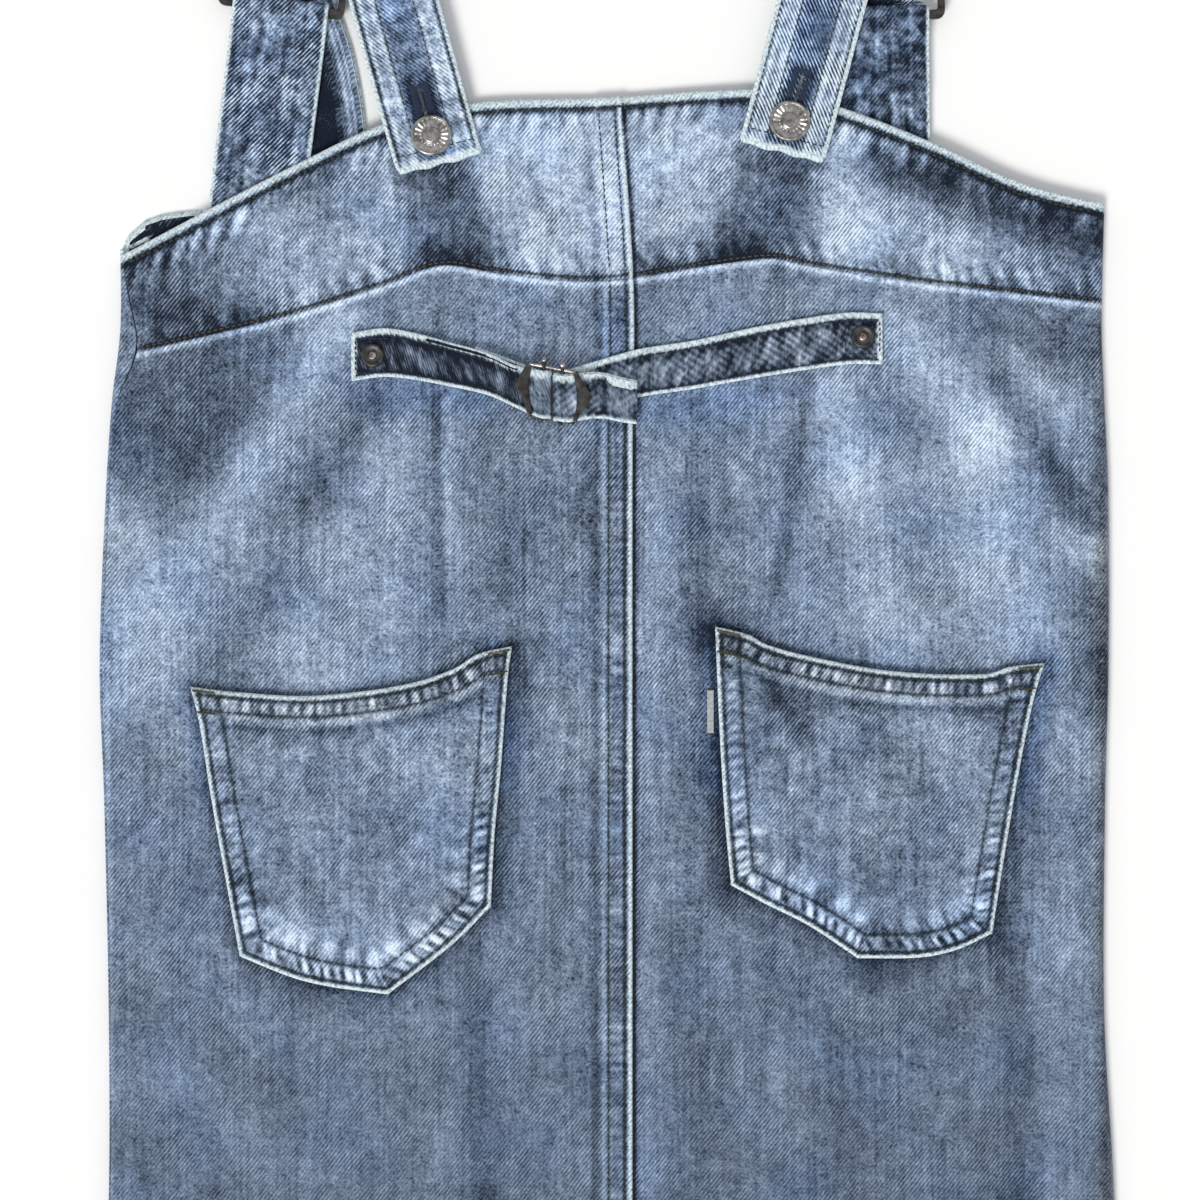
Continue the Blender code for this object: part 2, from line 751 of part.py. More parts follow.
def build_pocket_tab():
    low, high = POCKET_TAB["across"]
    top, bottom = POCKET_TAB["down"]
    thick = POCKET_TAB["thick"]
    bed = max(back_top(a, d) for a in (low, high) for d in (top, (top + bottom) / 2, bottom))
    tab = add_object("pocket_tab", box_mesh("pocket_tab", high - low, bottom - top, thick), "tab_cloth")
    tab.location = place((low + high) / 2, (top + bottom) / 2, bed + GAP + thick / 2)
    edge = tab.modifiers.new("edge", "BEVEL")
    edge.width = 0.25 * MM
    edge.segments = 1


# ---------------------------------------------------------------- straps, tabs and sliders


def on_back(across, down):
    """Height that a strap rests on: the back where there is some, else nothing."""
    if down > read(BACK_TOP, across) - 14 and abs(across) < 205:
        return back_top(across, max(down, read(BACK_TOP, across)))
    return -10.0


def strap_stations(table):
    """Stations of a shoulder strap, and how many of them belong to its back leg."""
    rows = [(a, d, h, math.radians(lean), STRAP_WIDTH, steps) for a, d, h, lean, steps in table]
    back_leg = route(rows[: STRAP_FOLD_ROW + 1], 5)
    front_leg = route(rows[STRAP_FOLD_ROW + 1 :], 5)
    start, end = rows[STRAP_FOLD_ROW], rows[STRAP_FOLD_ROW + 1]
    radius = (start[2] - end[2]) / 2
    fold = []
    for step in range(1, 8):
        share = step / 8
        turn = math.pi * share
        mix = [start[k] + (end[k] - start[k]) * share for k in range(5)]
        mix[1] = start[1] - radius * math.sin(turn)
        mix[2] = end[2] + radius * (1 + math.cos(turn))
        fold.append(mix)
    return back_leg + fold + front_leg, len(back_leg)


def build_straps():
    for side, table in (("left", LEFT_STRAP), ("right", RIGHT_STRAP)):
        stations, back_leg = strap_stations(table)
        strap = ribbon("strap_back_" + side, stations, STRAP_CLOTH, 3, on_back, back_leg)
        across, down = BUTTONS[side]
        lean = math.radians(table[0][3])
        middle = BUTTONHOLE_LENGTH / 2 - 2
        slot_at = place(across - middle * math.sin(lean), down - middle * math.cos(lean), 6.5)
        slot = cutter("slot_" + side, box_mesh("slot_" + side, BUTTONHOLE_SLOT, BUTTONHOLE_LENGTH, 14), slot_at, lean)
        eye = cutter("eye_" + side, rod_mesh("eye_" + side, SHANK_RADIUS + 0.4, 14), place(across, down, 6.5))
        boolean(strap, slot, "DIFFERENCE")
        boolean(strap, eye, "DIFFERENCE")
        build_button("button_" + side, across, down)
        build_tab("strap_front_" + side, TABS[side])
        build_slider("slider_" + side, TABS[side])


def build_button(name, across, down):
    rim = [(across + 9 * math.cos(k), down + 9 * math.sin(k)) for k in range(7)]
    seat = max(back_top(a, d) for a, d in rim) + GAP + STRAP_CLOTH + GAP
    foot = back_top(across, down) + GAP - seat
    profile = [
        (0.0, 2.5),
        (3.2, 2.4),
        (4.2, 1.9),
        (6.6, 2.3),
        (7.9, 2.4),
        (8.8, 1.6),
        (9.0, 0.8),
        (8.6, 0.0),
        (SHANK_RADIUS, 0.0),
        (SHANK_RADIUS, foot),
        (0.0, foot),
    ]
    turned(name, profile, across, down, seat, "nickel")


def build_tab(name, tab):
    """A strip folded round the slider's lower bar, its two legs sewn inside the front's top edge."""
    leg = CLOTH / 2
    wrap = SLIDER_PLATE / 2 + GAP + leg
    bar_a, bar_d = tab["bar"]
    lean = math.radians(tab["lean"])
    up = (math.sin(-lean), -math.cos(lean))
    run = (tab["sewn"][1] - bar_d) / math.cos(lean)
    sewn = CLOTH + GAP + leg
    tail = STRAP_CLOTH + GAP + leg
    tail_run = (tab["tail_end"] - bar_d) / math.cos(lean)
    front_run = (36 - bar_d) / math.cos(lean)

    def at(distance, height):
        return (bar_a - up[0] * distance, bar_d - up[1] * distance, height, lean, TAB_WIDTH)

    lower = [
        (run, sewn),
        (front_run, sewn),
        (tail_run + 6, sewn + 0.3),
        (tail_run + 1.5, tail),
        (tail_run * 0.5, tail),
        (10, tail),
        (0, SLIDER_HEIGHT - wrap),
    ]
    upper = [
        (0, SLIDER_HEIGHT + wrap),
        (4, SLIDER_HEIGHT + wrap),
        (7, SLIDER_HEIGHT + wrap - 0.9),
        (11, tail + CLOTH + GAP + 0.3),
        (15, tail + CLOTH + GAP),
        (tail_run * 0.5, tail + CLOTH + GAP),
        (tail_run + 1.5, tail + CLOTH + GAP),
        (tail_run + 6, sewn + 0.3 + CLOTH + GAP),
        (front_run, sewn + CLOTH + GAP),
        (run, sewn + CLOTH + GAP),
    ]
    nose = []
    for step in range(0, 9):
        turn = math.pi * step / 8
        nose.append((-SLIDER_BAR / 2 - wrap * math.sin(turn), SLIDER_HEIGHT - wrap * math.cos(turn)))
    ribbon(name, [at(*row) for row in lower + nose + upper], CLOTH, 3)


def build_slider(name, tab):
    pitch = SLIDER_PITCH
    height = 2 * pitch + SLIDER_BAR
    inner = SLIDER_WIDTH - 6.0
    outline = rounded_box(SLIDER_WIDTH, height, 3.5, (0, pitch))
    windows = [rounded_box(inner, pitch - SLIDER_BAR, 1.2, (0, pitch * (k + 0.5)), 2) for k in range(2)]
    plate = flat_plate(name, [outline] + windows, SLIDER_PLATE, "bronze")
    plate.location = place(*tab["bar"], SLIDER_HEIGHT)
    plate.rotation_euler = (0, 0, math.radians(tab["lean"]))


# ---------------------------------------------------------------- cinch


def cinch_bed(across, down, width):
    """The highest cloth under a stretch of cinch strap."""
    return max(back_top(across + a, down + width * k) for a in (-7, -3.5, 0, 3.5, 7) for k in (-0.5, -0.25, 0, 0.25, 0.5))


def buckle_bed():
    low, high = BUCKLE["across"]
    return max(cinch_bed(a, BUCKLE["down"], CINCH_WIDTH) for a in (low, (low + high) / 2, high))


def cinch_stations(rows):
    """Stations of a cinch strap from a table of across, down, level, width and steps."""
    keyed = [(a, d, level, width, math.pi / 2, steps) for a, d, level, width, steps in rows]
    stations = []
    for across, down, level, width, lean in route(keyed, 5):
        near = smoothstep(abs(across - (LEFT_BAR + RIGHT_BAR) / 2), 45, 22)
        bed = cinch_bed(across, down, width)
        bed += (buckle_bed() - bed) * near
        stations.append((across, down, bed + level, lean, width))
    return stations


def wrap_bar(bar, toward, bed, down, width, upward):
    """Half a turn round a buckle bar's far edge, between the strap's lower and upper leg."""
    radius = LEG_PITCH / 2
    middle = bed + LOWER_LEG + radius
    edge = bar + toward * BAR_WIDTH / 2
    turns = [math.pi * step / 6 for step in range(7)]
    points = [(edge + toward * radius * math.sin(t), down, middle - radius * math.cos(t), math.pi / 2, width) for t in turns]
    return points if upward else points[::-1]


def build_cinch():
    bed = buckle_bed()
    down = BUCKLE["down"]
    left = cinch_stations(LEFT_CINCH)
    left += wrap_bar(LEFT_BAR, 1, bed, down, CINCH_WIDTH - 0.4, upward=False)
    for across, at, width in ((LEFT_BAR, 131.3, 21.2), (-41.0, 127.5, 18.5), (LEFT_CINCH_RETURN, 121.0, 18.0)):
        left.append((across, at, bed + LOWER_LEG, math.pi / 2, width))
    ribbon("cinch_left", left, CINCH_CLOTH, 3)
    right = cinch_stations(RIGHT_CINCH)
    right += wrap_bar(RIGHT_BAR, -1, bed, down, CINCH_WIDTH - 0.4, upward=True)
    right.append((RIGHT_BAR, down, bed + LOWER_LEG + LEG_PITCH, math.pi / 2, 21.2))
    right.append((RIGHT_BAR + BAR_WIDTH / 2, down, bed + LOWER_LEG + LEG_PITCH, math.pi / 2, 21.2))
    for across, at in RIGHT_CINCH_TAIL:
        right.append((across, at, bed + LOWER_LEG + LEG_PITCH, math.pi / 2, 23.4))
    ribbon("cinch_right", right, CINCH_CLOTH, 3)
    build_buckle(bed + LOWER_LEG + LEG_PITCH + CINCH_CLOTH / 2 + GAP)
    for side, (across, at) in RIVETS.items():
        seat = cinch_bed(across, at, 12) + GAP + CINCH_CLOTH + GAP
        cap = [(0, 1.2), (1.5, 1.2), (2.1, 0.8), (3.3, 0.9), (4.3, 1.3), (5.0, 0.9), (RIVET_RADIUS, 0.4), (5.0, 0), (0, 0)]
        turned("rivet_" + side, cap, across, at, seat, "bronze", 20)


def build_buckle(plate_floor):
    """A plate with a lobed side beyond each roll of strap, and two bars under it that the rolls go round."""
    low, high = BUCKLE["across"]
    half = BUCKLE["height"] / 2
    lobe = [(0.0, 1.0), (2.2, 0.82), (0.9, 0.55), (0.0, 0.0), (0.9, -0.55), (2.2, -0.82)]
    left_side = [(low + inset, half * share) for inset, share in reversed(lobe)]
    right_side = [(high - inset, half * share) for inset, share in lobe]
    left_side = [(a + 2.4 if abs(d) > 0.9 * half else a, d) for a, d in left_side]
    edge = [(high - 3.4, half)] + right_side[1:] + [(high - 3.4, -half), (low + 3.4, -half)] + left_side[:-1] + [(low + 3.4, half)]
    window = [(low + 7.4, BUCKLE["window"] / 2), (high - 8.4, BUCKLE["window"] / 2)]
    window += [(a, -d) for a, d in reversed(window)]
    middle = (low + high) / 2
    outline = [(a - middle, d) for a, d in edge]
    plate = flat_plate("cinch_buckle", [outline, [(a - middle, d) for a, d in window]], BUCKLE["plate"], "bronze")
    plate_middle = plate_floor + BUCKLE["plate"] / 2
    plate.location = place(middle, BUCKLE["down"], plate_middle)
    bar_middle = plate_floor - GAP - CINCH_CLOTH - GAP - BAR_THICK / 2
    reach = BUCKLE["height"] - 1.8
    for side, bar in (("left", LEFT_BAR), ("right", RIGHT_BAR)):
        rail = cutter("bar_" + side, box_mesh("bar_" + side, BAR_WIDTH, reach, BAR_THICK), place(bar, BUCKLE["down"], bar_middle))
        boolean(plate, rail, "UNION")
        for end, sign in (("top", -1), ("bottom", 1)):
            post_height = plate_middle + 1.6 - (bar_middle - BAR_THICK / 2)
            post = rod_mesh("prong", 1.15, post_height, 12)
            at = place(bar, BUCKLE["down"] + sign * (half - 0.85), bar_middle - BAR_THICK / 2 + post_height / 2 - 0.01)
            boolean(plate, cutter("prong_" + side + "_" + end, post, at), "UNION")


start_scene()
cutters = bpy.data.collections.new("cutters")
bpy.context.scene.collection.children.link(cutters)
build_panels()
build_pocket("pocket_left", LEFT_POCKET)
build_pocket("pocket_right", RIGHT_POCKET)
build_pocket_tab()
build_straps()
build_cinch()
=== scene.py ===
"""Denim suspender skirt, laid flat with its back upward: its cloth, sewing and metal in full detail.

Tables are in millimetres. "across" is measured from the middle of the back, positive to the right,
"down" from the middle of the back's top edge towards the hem, and "height" from the floor.
"""

import math

import bpy
import numpy as np
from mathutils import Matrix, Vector
from mathutils.bvhtree import BVHTree


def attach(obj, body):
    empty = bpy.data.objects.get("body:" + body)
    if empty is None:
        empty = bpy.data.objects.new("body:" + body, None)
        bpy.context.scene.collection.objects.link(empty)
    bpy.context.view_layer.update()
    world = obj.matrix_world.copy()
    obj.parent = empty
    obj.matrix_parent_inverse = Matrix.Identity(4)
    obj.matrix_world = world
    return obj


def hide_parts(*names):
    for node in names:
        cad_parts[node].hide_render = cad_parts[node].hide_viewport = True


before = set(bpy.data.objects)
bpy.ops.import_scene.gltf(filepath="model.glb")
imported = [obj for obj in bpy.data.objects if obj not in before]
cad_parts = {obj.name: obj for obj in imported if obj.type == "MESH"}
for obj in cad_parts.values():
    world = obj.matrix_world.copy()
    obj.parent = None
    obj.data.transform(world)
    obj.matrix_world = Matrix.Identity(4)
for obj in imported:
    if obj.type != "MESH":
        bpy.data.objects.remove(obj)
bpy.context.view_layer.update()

MM = 0.001
IMAGE_WIDTH = 1200

# Sizes of the garment
BODY_LENGTH = 930.0  # top edge of the back to the hem
STRAP_RISE = 201.0  # fold of the shoulder straps above the top edge
MIDDLE_DOWN = (BODY_LENGTH - STRAP_RISE) / 2
CLOTH = 1.3  # room that one layer of denim takes
DENIM = 1.05  # one layer of denim
GAP = 0.3
ROLL_GAP = 1.0
SIDE_FOLD = 3.05
HEM = 20.0
POCKET_HEM = 14.0
LIFT_LEAST = 2 * CLOTH + GAP
LIFT_MOST = 6.5
LIFT_REST = 4.3
SEAM_BAND = (-1.1, 10.3)
SEAM_RISE = 0.9
STRAP_WIDTH = 38.5
STRAP_CLOTH = 2.6
TAB_WIDTH = 42.0
TAB_SEWN_DOWN = 57.0
SLIDER_BAR = 4.0
SLIDER_PLATE = 2.0
SLIDER_HEIGHT = 5.5
CINCH_WIDTH = 21.6
CINCH_CLOTH = 1.6
RIVET_RADIUS = 5.25

# Half widths of the skirt as it lies: down, left, right
OUTLINE = [
    (47, 215.5, 218.7), (100, 214.8, 217.4), (134, 218.6, 218.7), (175, 221.3, 220.4), (250, 224, 220.5),
    (310, 222, 219), (403, 220, 218.6), (485, 220, 223), (700, 226.5, 228.5), (930, 233, 233),
]
# Edges that run across the garment: across, down
BACK_TOP = [
    (-216, 71), (-180, 52), (-134, 28.5), (-100, 12.5), (-60, 2.6), (0, 0), (62, -3.3), (84, 0.5), (103, 5),
    (142, 20), (182, 38), (219, 47.5),
]
FRONT_TOP = [
    (-216, 71), (-213, 63), (-207, 56.5), (-200, 52.6), (-177, 49.5), (-120, 46), (0, 44), (120, 43),
    (190, 42), (212, 46), (219, 47.5),
]
YOKE_SEAM = [
    (-214, 114), (-183, 106.5), (-140, 96), (-99, 83), (-73, 74), (-48, 77.5), (-4, 80.7), (50, 73.3),
    (73.5, 71), (87, 74), (130, 80.7), (176, 86), (219, 91),
]
HEM_LINE = [(-233, 922), (-120, 928), (0, BODY_LENGTH), (120, 928), (233, 922)]
# How far the left side seam lies in from the edge of the shape: down, inset
LEFT_SEAM_INSET = [(71, 0.6), (90, 4.4), (112, 8.4), (135, 2.7), (208, 1.8), (300, 1), (930, 0.8)]
RIGHT_SEAM_ANGLE = math.radians(100)

# Height of the back's outer surface over the yoke, where straps hold it up: across, height
YOKE_HEIGHT = [
    (-215, 6.1), (-177, 7), (-135, 7.8), (-105, 6.4), (-60, 4.6), (0, 3.9), (45, 4.6), (75, 5.9), (98, 6.9),
    (141, 6.9), (180, 6.4), (218, 6.1),
]

# Largest folds of the back: start across, start down, end across, end down, half width at start, at end, rise
FOLDS = [
    (-92, 104, -150, 142, 12, 17, 1.3), (-150, 142, -208, 262, 17, 20, 2),
    (-182, 148, -176, 168, 22, 20, -1.2), (-121, 133, -156, 232, 9, 13, -2),
    (-84, 134, -122, 245, 11, 24, 2), (-73, 122, -74, 236, 8, 9, -2.8), (-30, 150, -34, 240, 26, 30, 1.3),
    (88, 120, 75, 220, 8, 9, -2.6), (108, 122, 102, 240, 12, 18, 2), (124, 100, 176, 143, 11, 15, 1.5),
    (176, 143, 200, 250, 15, 17, 1.8), (131, 140, 147, 232, 11, 14, -1.8), (33, 150, 35, 560, 11, 12, -1.2),
    (18, 150, 19, 560, 9, 10, 0.8), (-54, 380, -50, 925, 11, 16, -1.4), (-92, 430, -100, 925, 24, 32, 1.3),
    (182, 370, 190, 925, 10, 15, -1.9), (160, 400, 164, 925, 15, 22, 1.2), (72, 430, 84, 925, 26, 34, 1.2),
    (-160, 470, -168, 925, 14, 20, -1.2),
]
FOLD_FADE = 26.0  # how far a fold fades out past its ends
FOLD_REACH = 1.6  # where a fold ends beside its line, as a share of its half width

# Pocket edges, each from left to right or from top to bottom: across, down
LEFT_POCKET = {
    "top": [
        (-183.5, 259.6), (-163.2, 261.8), (-133.8, 263.6), (-106.5, 261.4), (-84.5, 257.4), (-67.8, 251.5),
        (-57.2, 245.1), (-42.2, 241.6),
    ],
    "left": [(-183.5, 259.6), (-180, 273.9), (-174.2, 310.2), (-161.9, 378)],
    "right": [(-42.2, 241.6), (-44, 255.2), (-47.1, 295.7), (-49.7, 323), (-51.5, 356)],
    "bottom": [(-161.9, 378), (-139, 387.2), (-122.8, 391.2), (-96.8, 394.7), (-67.8, 372.2), (-51.5, 356)],
    "tip": (-96.8, 394.7),
}
RIGHT_POCKET = {
    "top": [
        (47.1, 233), (62, 236.7), (69.3, 240.7), (88, 246), (124.5, 252.6), (165.9, 253.9), (176.4, 250.8),
        (191.8, 249),
    ],
    "left": [(47.1, 233), (49, 277.6), (51.5, 319), (54.1, 346.7)],
    "right": [(191.8, 249), (187.7, 262.2), (180.4, 298.3), (174.2, 334.8), (169, 367.8)],
    "bottom": [
        (54.1, 346.7), (70.4, 355.5), (88, 364.3), (109.8, 378.8), (137.7, 378.4), (153.6, 374.9), (169, 367.8),
    ],
    "tip": (109.8, 378.8),
}
POCKET_TAB = {"across": (43.6, 46.6), "down": (260.9, 279.8), "thick": 1.1}

# Shoulder straps, buttoned end first: across, down, height of the middle, lean in degrees, steps to the next
LEFT_STRAP = [
    (-74.1, 29.3, 0, 14.3, 5), (-82.9, -2, 7.2, 14.3, 4), (-94.2, -42.7, 8.2, 14.3, 3),
    (-104, -80, 8.2, 14.3, 4), (-118, -130, 7, 13, 5), (-132.5, -194.8, 6.3, 9, 0),
    (-134.5, -194.8, 1.35, 4, 4), (-137.5, -120, 1.35, -2, 2), (-138.6, -92, 1.6, -5, 2),
    (-139.2, -76.5, 2.8, -7.1, 1), (-139.2, -70.4, 2.8, -7.1, 5), (-139.3, -59.2, 8.1, -7.1, 1),
    (-139.3, -53.4, 8.1, -7.1, 5), (-138.9, -43.9, 1.35, -7.1, 2), (-136, -35, 1.35, -4, 2),
    (-131, -16, 1.35, 4, 2), (-126.7, 8, 1.35, 6.5, 2), (-124.6, 30.5, 1.35, 6.5, 0),
]
RIGHT_STRAP = [
    (76.5, 24.1, 0, -14.7, 5), (84.5, -6, 9.3, -14.7, 3), (94.2, -42.7, 11, -14.7, 3),
    (104, -80, 11, -14.7, 4), (117.5, -130, 8.6, -13.5, 5), (133.8, -194.8, 6.3, -11, 0),
    (133, -194.8, 1.35, -6, 4), (126, -120, 1.35, -4, 2), (122.3, -89, 1.6, -1, 2),
    (121, -73.5, 2.8, 0.8, 1), (120.9, -67.2, 2.8, 0.8, 5), (120.4, -55.9, 8.1, 0.8, 1),
    (120.3, -50.1, 8.1, 0.8, 5), (119.9, -40.7, 1.35, 0.8, 2), (119, -31, 1.35, 1, 2),
    (117.4, -18, 1.35, 2, 1), (116.4, -5, 1.35, 2, 0),
]
STRAP_FOLD_ROW = 5  # the row before the fold over the shoulder
# Buttonhole and button of each strap: across and down of the button
BUTTONS = {"left": (-77.6, 17.6), "right": (79.6, 11.5)}
BUTTONHOLE_LENGTH = 24.0
BUTTONHOLE_SLOT = 1.4
SHANK_RADIUS = 2.0

# Front strap tabs: middle of the slider's lower bar, lean, end of the strap tail above them, how light they
# are, and their pressed lines aside of the middle
TABS = {
    "left": {
        "bar": (-143.9, -39.2), "lean": -7.1, "tail_end": 30.5, "wash_and_shade": 0.45, "lines": (-13.5, -7.5, 4.5, 11.5),
    },
    "right": {
        "bar": (120.1, -35.9), "lean": 0.8, "tail_end": -5, "wash_and_shade": 0.36, "lines": (-12.5, -4, 3, 10.5),
    },
}

# Cinch straps, riveted end first: across, down, level of the middle above the cloth, width, steps to the next
BAR_WIDTH = 5.0
BAR_THICK = 1.2
LEFT_BAR = -29.5
RIGHT_BAR = -19.4
LOWER_LEG = GAP + CINCH_CLOTH / 2
LEG_PITCH = CINCH_CLOTH + 2 * GAP + BAR_THICK  # the strap's two legs on either side of a buckle bar
LEFT_CINCH = [
    (-112.4, 114.4, LOWER_LEG, 21.4, 4), (-96.4, 112.6, LOWER_LEG, 21.4, 4),
    (-71.7, 117.2, LOWER_LEG + 0.6, 19.6, 3), (-52, 122.5, LOWER_LEG + LEG_PITCH, 18.5, 3),
    (-41, 127.5, LOWER_LEG + LEG_PITCH, 18.5, 4), (LEFT_BAR, 131.3, LOWER_LEG + LEG_PITCH, 21.2, 0),
]
LEFT_CINCH_RETURN = -58.0
RIGHT_CINCH = [
    (120.2, 106.6, LOWER_LEG, 22.4, 3), (104.5, 106.5, LOWER_LEG, 22.8, 5),
    (69.5, 111.6, LOWER_LEG, 22.6, 5), (37.6, 117.8, LOWER_LEG, 21.4, 4), (13.6, 121.6, LOWER_LEG, 21.2, 4),
    (-6, 127, LOWER_LEG, 21, 3), (RIGHT_BAR, 131.3, LOWER_LEG, 21.2, 0),
]
# The cinch's free end: across, down, width
CINCH_TAIL = [(-6.5, 131.4, 20.6), (-1, 131.8, 20.2), (6, 133.6, 19.8), (12.4, 134.6, 19.4)]
BUCKLE = {"across": (-41, -7), "down": 131.3}
RIVETS = {"left": (-103.4, 114), "right": (111.8, 105.8)}

# Centre seam: how far it lies off its straight line: down, shift
SEAM_LEAN = [(0, -4.6), (12, -4), (45, -1.6), (78, 0.4), (111, 0.9), (140, 0.2), (180, 0)]
SEAM_ROWS = (1.3, 8.3)  # stitch rows of the centre seam, from the band's left edge

# Smaller creases, in the same columns as FOLDS
CREASES = [
    (-75, 33, -66, 72, 5, 9, -0.8), (-92, 35, -84, 76, 5, 7, 0.5), (-57, 28, -47, 74, 5, 9, 0.6),
    (62, 28, 36, 72, 6, 8, -0.7), (90, 26, 78, 70, 7, 9, -0.7), (104, 40, 122, 76, 8, 9, 0.8),
    (128, 30, 214, 62, 6, 9, -0.9), (142, 44, 200, 82, 6, 8, 0.4), (-150, 60, -196, 84, 8, 9, 0.5),
    (-132, 45, -178, 78, 6, 8, -0.4), (-40, 90, -15, 118, 4, 5, 0.4), (-66, 132, -66, 190, 2.5, 3, 0.5),
    (177, 112, 202, 140, 5, 6, 0.8), (172, 126, 212, 187, 6, 7, -1), (150, 128, 166, 148, 6, 14, 0.5),
    (-25, 225, 0, 262, 7, 8, 0.5), (-60, 520, -40, 700, 9, 12, 0.4), (120, 560, 140, 800, 12, 14, -0.5),
    (-120, 560, -130, 860, 11, 13, -0.5),
]

# Wash of the denim, with painted light and shade: besides the wash's own fades, many marks are painted shade in
# fold troughs, under the strap ends and the cinch, below the pocket hems and down the right side roll, and
# painted light on fold ridges.
# Marks are capsules: start across, down, end across, down, half width at each end,
# how much lighter, and how crisp their edge is where that isn't 2
YOKE_BASE = 0.60
SKIRT_BASE = [(70, 0.52), (140, 0.51), (250, 0.52), (330, 0.485), (420, 0.46), (500, 0.445), (930, 0.45)]
YOKE_WASH_AND_SHADE = [
    (-208, 74, -188, 89, 19.8, 19.8, -0.28), (-197, 99, -160, 96, 10.6, 8.8, -0.13),
    (-177, 84, -162, 73, 9.7, 9.7, 0.05), (-152, 55, -152, 55, 7.9, 7.9, 0.04),
    (-127, 77, -92, 63, 14.1, 15.4, 0.04), (-77, 33, -69, 74, 15.8, 13.2, -0.30, 4),
    (-62, 41, -50, 71, 6.2, 9.7, -0.14), (-34, 32, -32, 59, 30.8, 26.4, 0.12),
    (-15, 23, -9, 61, 13.2, 11.4, 0.05), (37, 21, 28, 48, 22, 17.6, 0.14),
    (16, 73, 50, 69, 6.2, 9.7, -0.18), (73, 31, 59, 73, 15.8, 15, -0.26, 3),
    (86, 28, 81, 52, 9.7, 11.4, -0.1), (106, 61, 112, 73, 10.6, 10.6, 0.14),
    (103, 45, 131, 73, 17.6, 19.4, 0.08), (142, 59, 156, 75, 11.4, 11.4, 0.05),
    (120, 29, 212, 62, 8, 14, -0.31), (186, 89, 216, 68, 14.1, 13.2, -0.1),
]
SKIRT_WASH_AND_SHADE = [
    (-202, 144, -164, 140, 20.2, 17.6, -0.17), (-186, 159, -170, 153, 10.6, 10.6, -0.08),
    (-202, 121, -149, 109, 12.3, 10.6, -0.1), (-116, 97, -158, 160, 8.8, 10.1, 0.17),
    (-158, 160, -197, 239, 12, 16, 0.08), (-218, 186, -214, 261, 15.8, 19.4, 0.1),
    (-104, 134, -131, 177, 6.6, 8.8, -0.1), (-131, 177, -152, 231, 8.8, 8.8, -0.05),
    (-87, 140, -93, 164, 5.7, 9.7, 0.1), (-98, 177, -122, 243, 15.8, 26.4, 0.1),
    (-76, 131, -74.4, 226, 2.6, 3.6, -0.14, 6), (-71, 133, -70.4, 200, 1.6, 2.2, 0.12),
    (-38, 175, -44, 204, 15, 15.8, -0.09), (-8, 180, -8, 217, 8.8, 9.7, -0.09),
    (-21, 228, -3, 268, 6.6, 7.9, 0.05), (21, 177, 21, 353, 6.6, 6.6, 0.05),
    (40, 133, 40, 239, 4, 5.7, -0.09), (88, 123, 74, 222, 2.8, 3.6, -0.14, 5),
    (98, 128, 106, 169, 7.9, 11.4, 0.14), (112, 169, 127, 241, 14, 15, 0.13),
    (131, 103, 166, 147, 10, 15, 0.15), (166, 147, 177, 232, 17, 21, 0.13),
    (172, 127, 211, 187, 5.3, 6.2, -0.2), (177, 111, 202, 139, 4, 5.3, 0.13),
    (172, 93, 214, 110, 11.4, 12.3, -0.08), (203, 197, 214, 206, 11.4, 11.4, 0.07),
    (210, 221, 216, 265, 9.7, 9.7, -0.13), (-40, 242, -48, 356, 6.6, 5.3, -0.15),
    (-51, 244, -40, 246, 10.6, 8.8, -0.1), (-182, 265, -164, 373, 5.7, 5.7, -0.06),
    (-158, 385, -104, 399, 5.7, 6.2, -0.08), (-97, 398, -49, 361, 5.7, 5.3, -0.06),
    (46, 239, 50, 350, 7.5, 6.2, -0.18), (48, 234, 68, 239, 9.7, 7.9, -0.1),
    (72, 240, 172, 248, 4.4, 4.4, -0.04), (192, 250, 174, 369, 7, 6.2, -0.13),
    (58, 356, 115, 385, 5.7, 6.2, -0.1), (116, 385, 172, 374, 6.2, 6.2, -0.08),
    (-100, 132, -48, 142, 6.2, 6.2, -0.03), (-59, 375, -54, 485, 5.3, 6.2, -0.09),
    (-54, 485, -51, 908, 6.2, 7, -0.07), (179, 380, 181, 485, 5.3, 5.7, -0.09),
    (181, 485, 183, 908, 5.7, 7, -0.08), (-76, 380, -74, 908, 7.9, 8.8, 0.03),
    (199, 265, 202, 908, 9.7, 9.7, 0.05), (18, 353, 19, 908, 5.7, 6.2, 0.03),
    (34, 243, 36, 485, 6.6, 7, -0.04), (-220, 265, -219, 908, 2.2, 2.2, 0.1),
    (128, 419, 128, 908, 48.4, 57.2, -0.03), (217, 103, 219, 485, 2.6, 2.6, -0.12),
]
LEFT_POCKET_WASH_AND_SHADE = [
    (-166, 298, -130, 347, 5.7, 5.7, -0.05), (-162, 315, -136, 356, 4.4, 6.2, 0.05),
    (-155, 364, -126, 374, 7, 6.2, 0.18), (-105, 383, -81, 370, 4.8, 5.7, 0.16),
    (-57, 347, -57, 347, 5.7, 5.7, 0.16), (-78, 305, -69, 356, 12.3, 12.3, 0.04),
    (-174, 275, -114, 280, 3.1, 3.1, -0.12), (-114, 280, -61, 265, 3.1, 3.1, -0.1),
    (-56, 250, -45, 253, 7, 5.3, -0.12),
]
RIGHT_POCKET_WASH_AND_SHADE = [
    (50, 243, 69, 251, 7.9, 7, -0.16), (72, 261, 87, 281, 4, 4.4, -0.13),
    (62, 265, 177, 271, 2.6, 2.6, -0.1), (63, 322, 72, 345, 7, 7, 0.14), (87, 348, 87, 348, 5.3, 5.3, 0.12),
    (106, 360, 107, 361, 5.7, 5.7, 0.2), (161, 350, 161, 351, 5.7, 5.7, 0.16),
    (180, 261, 173, 309, 6.6, 6.2, -0.08), (146, 274, 158, 305, 10.6, 11.4, 0.04),
    (116, 373, 166, 370, 4, 4, -0.1),
]
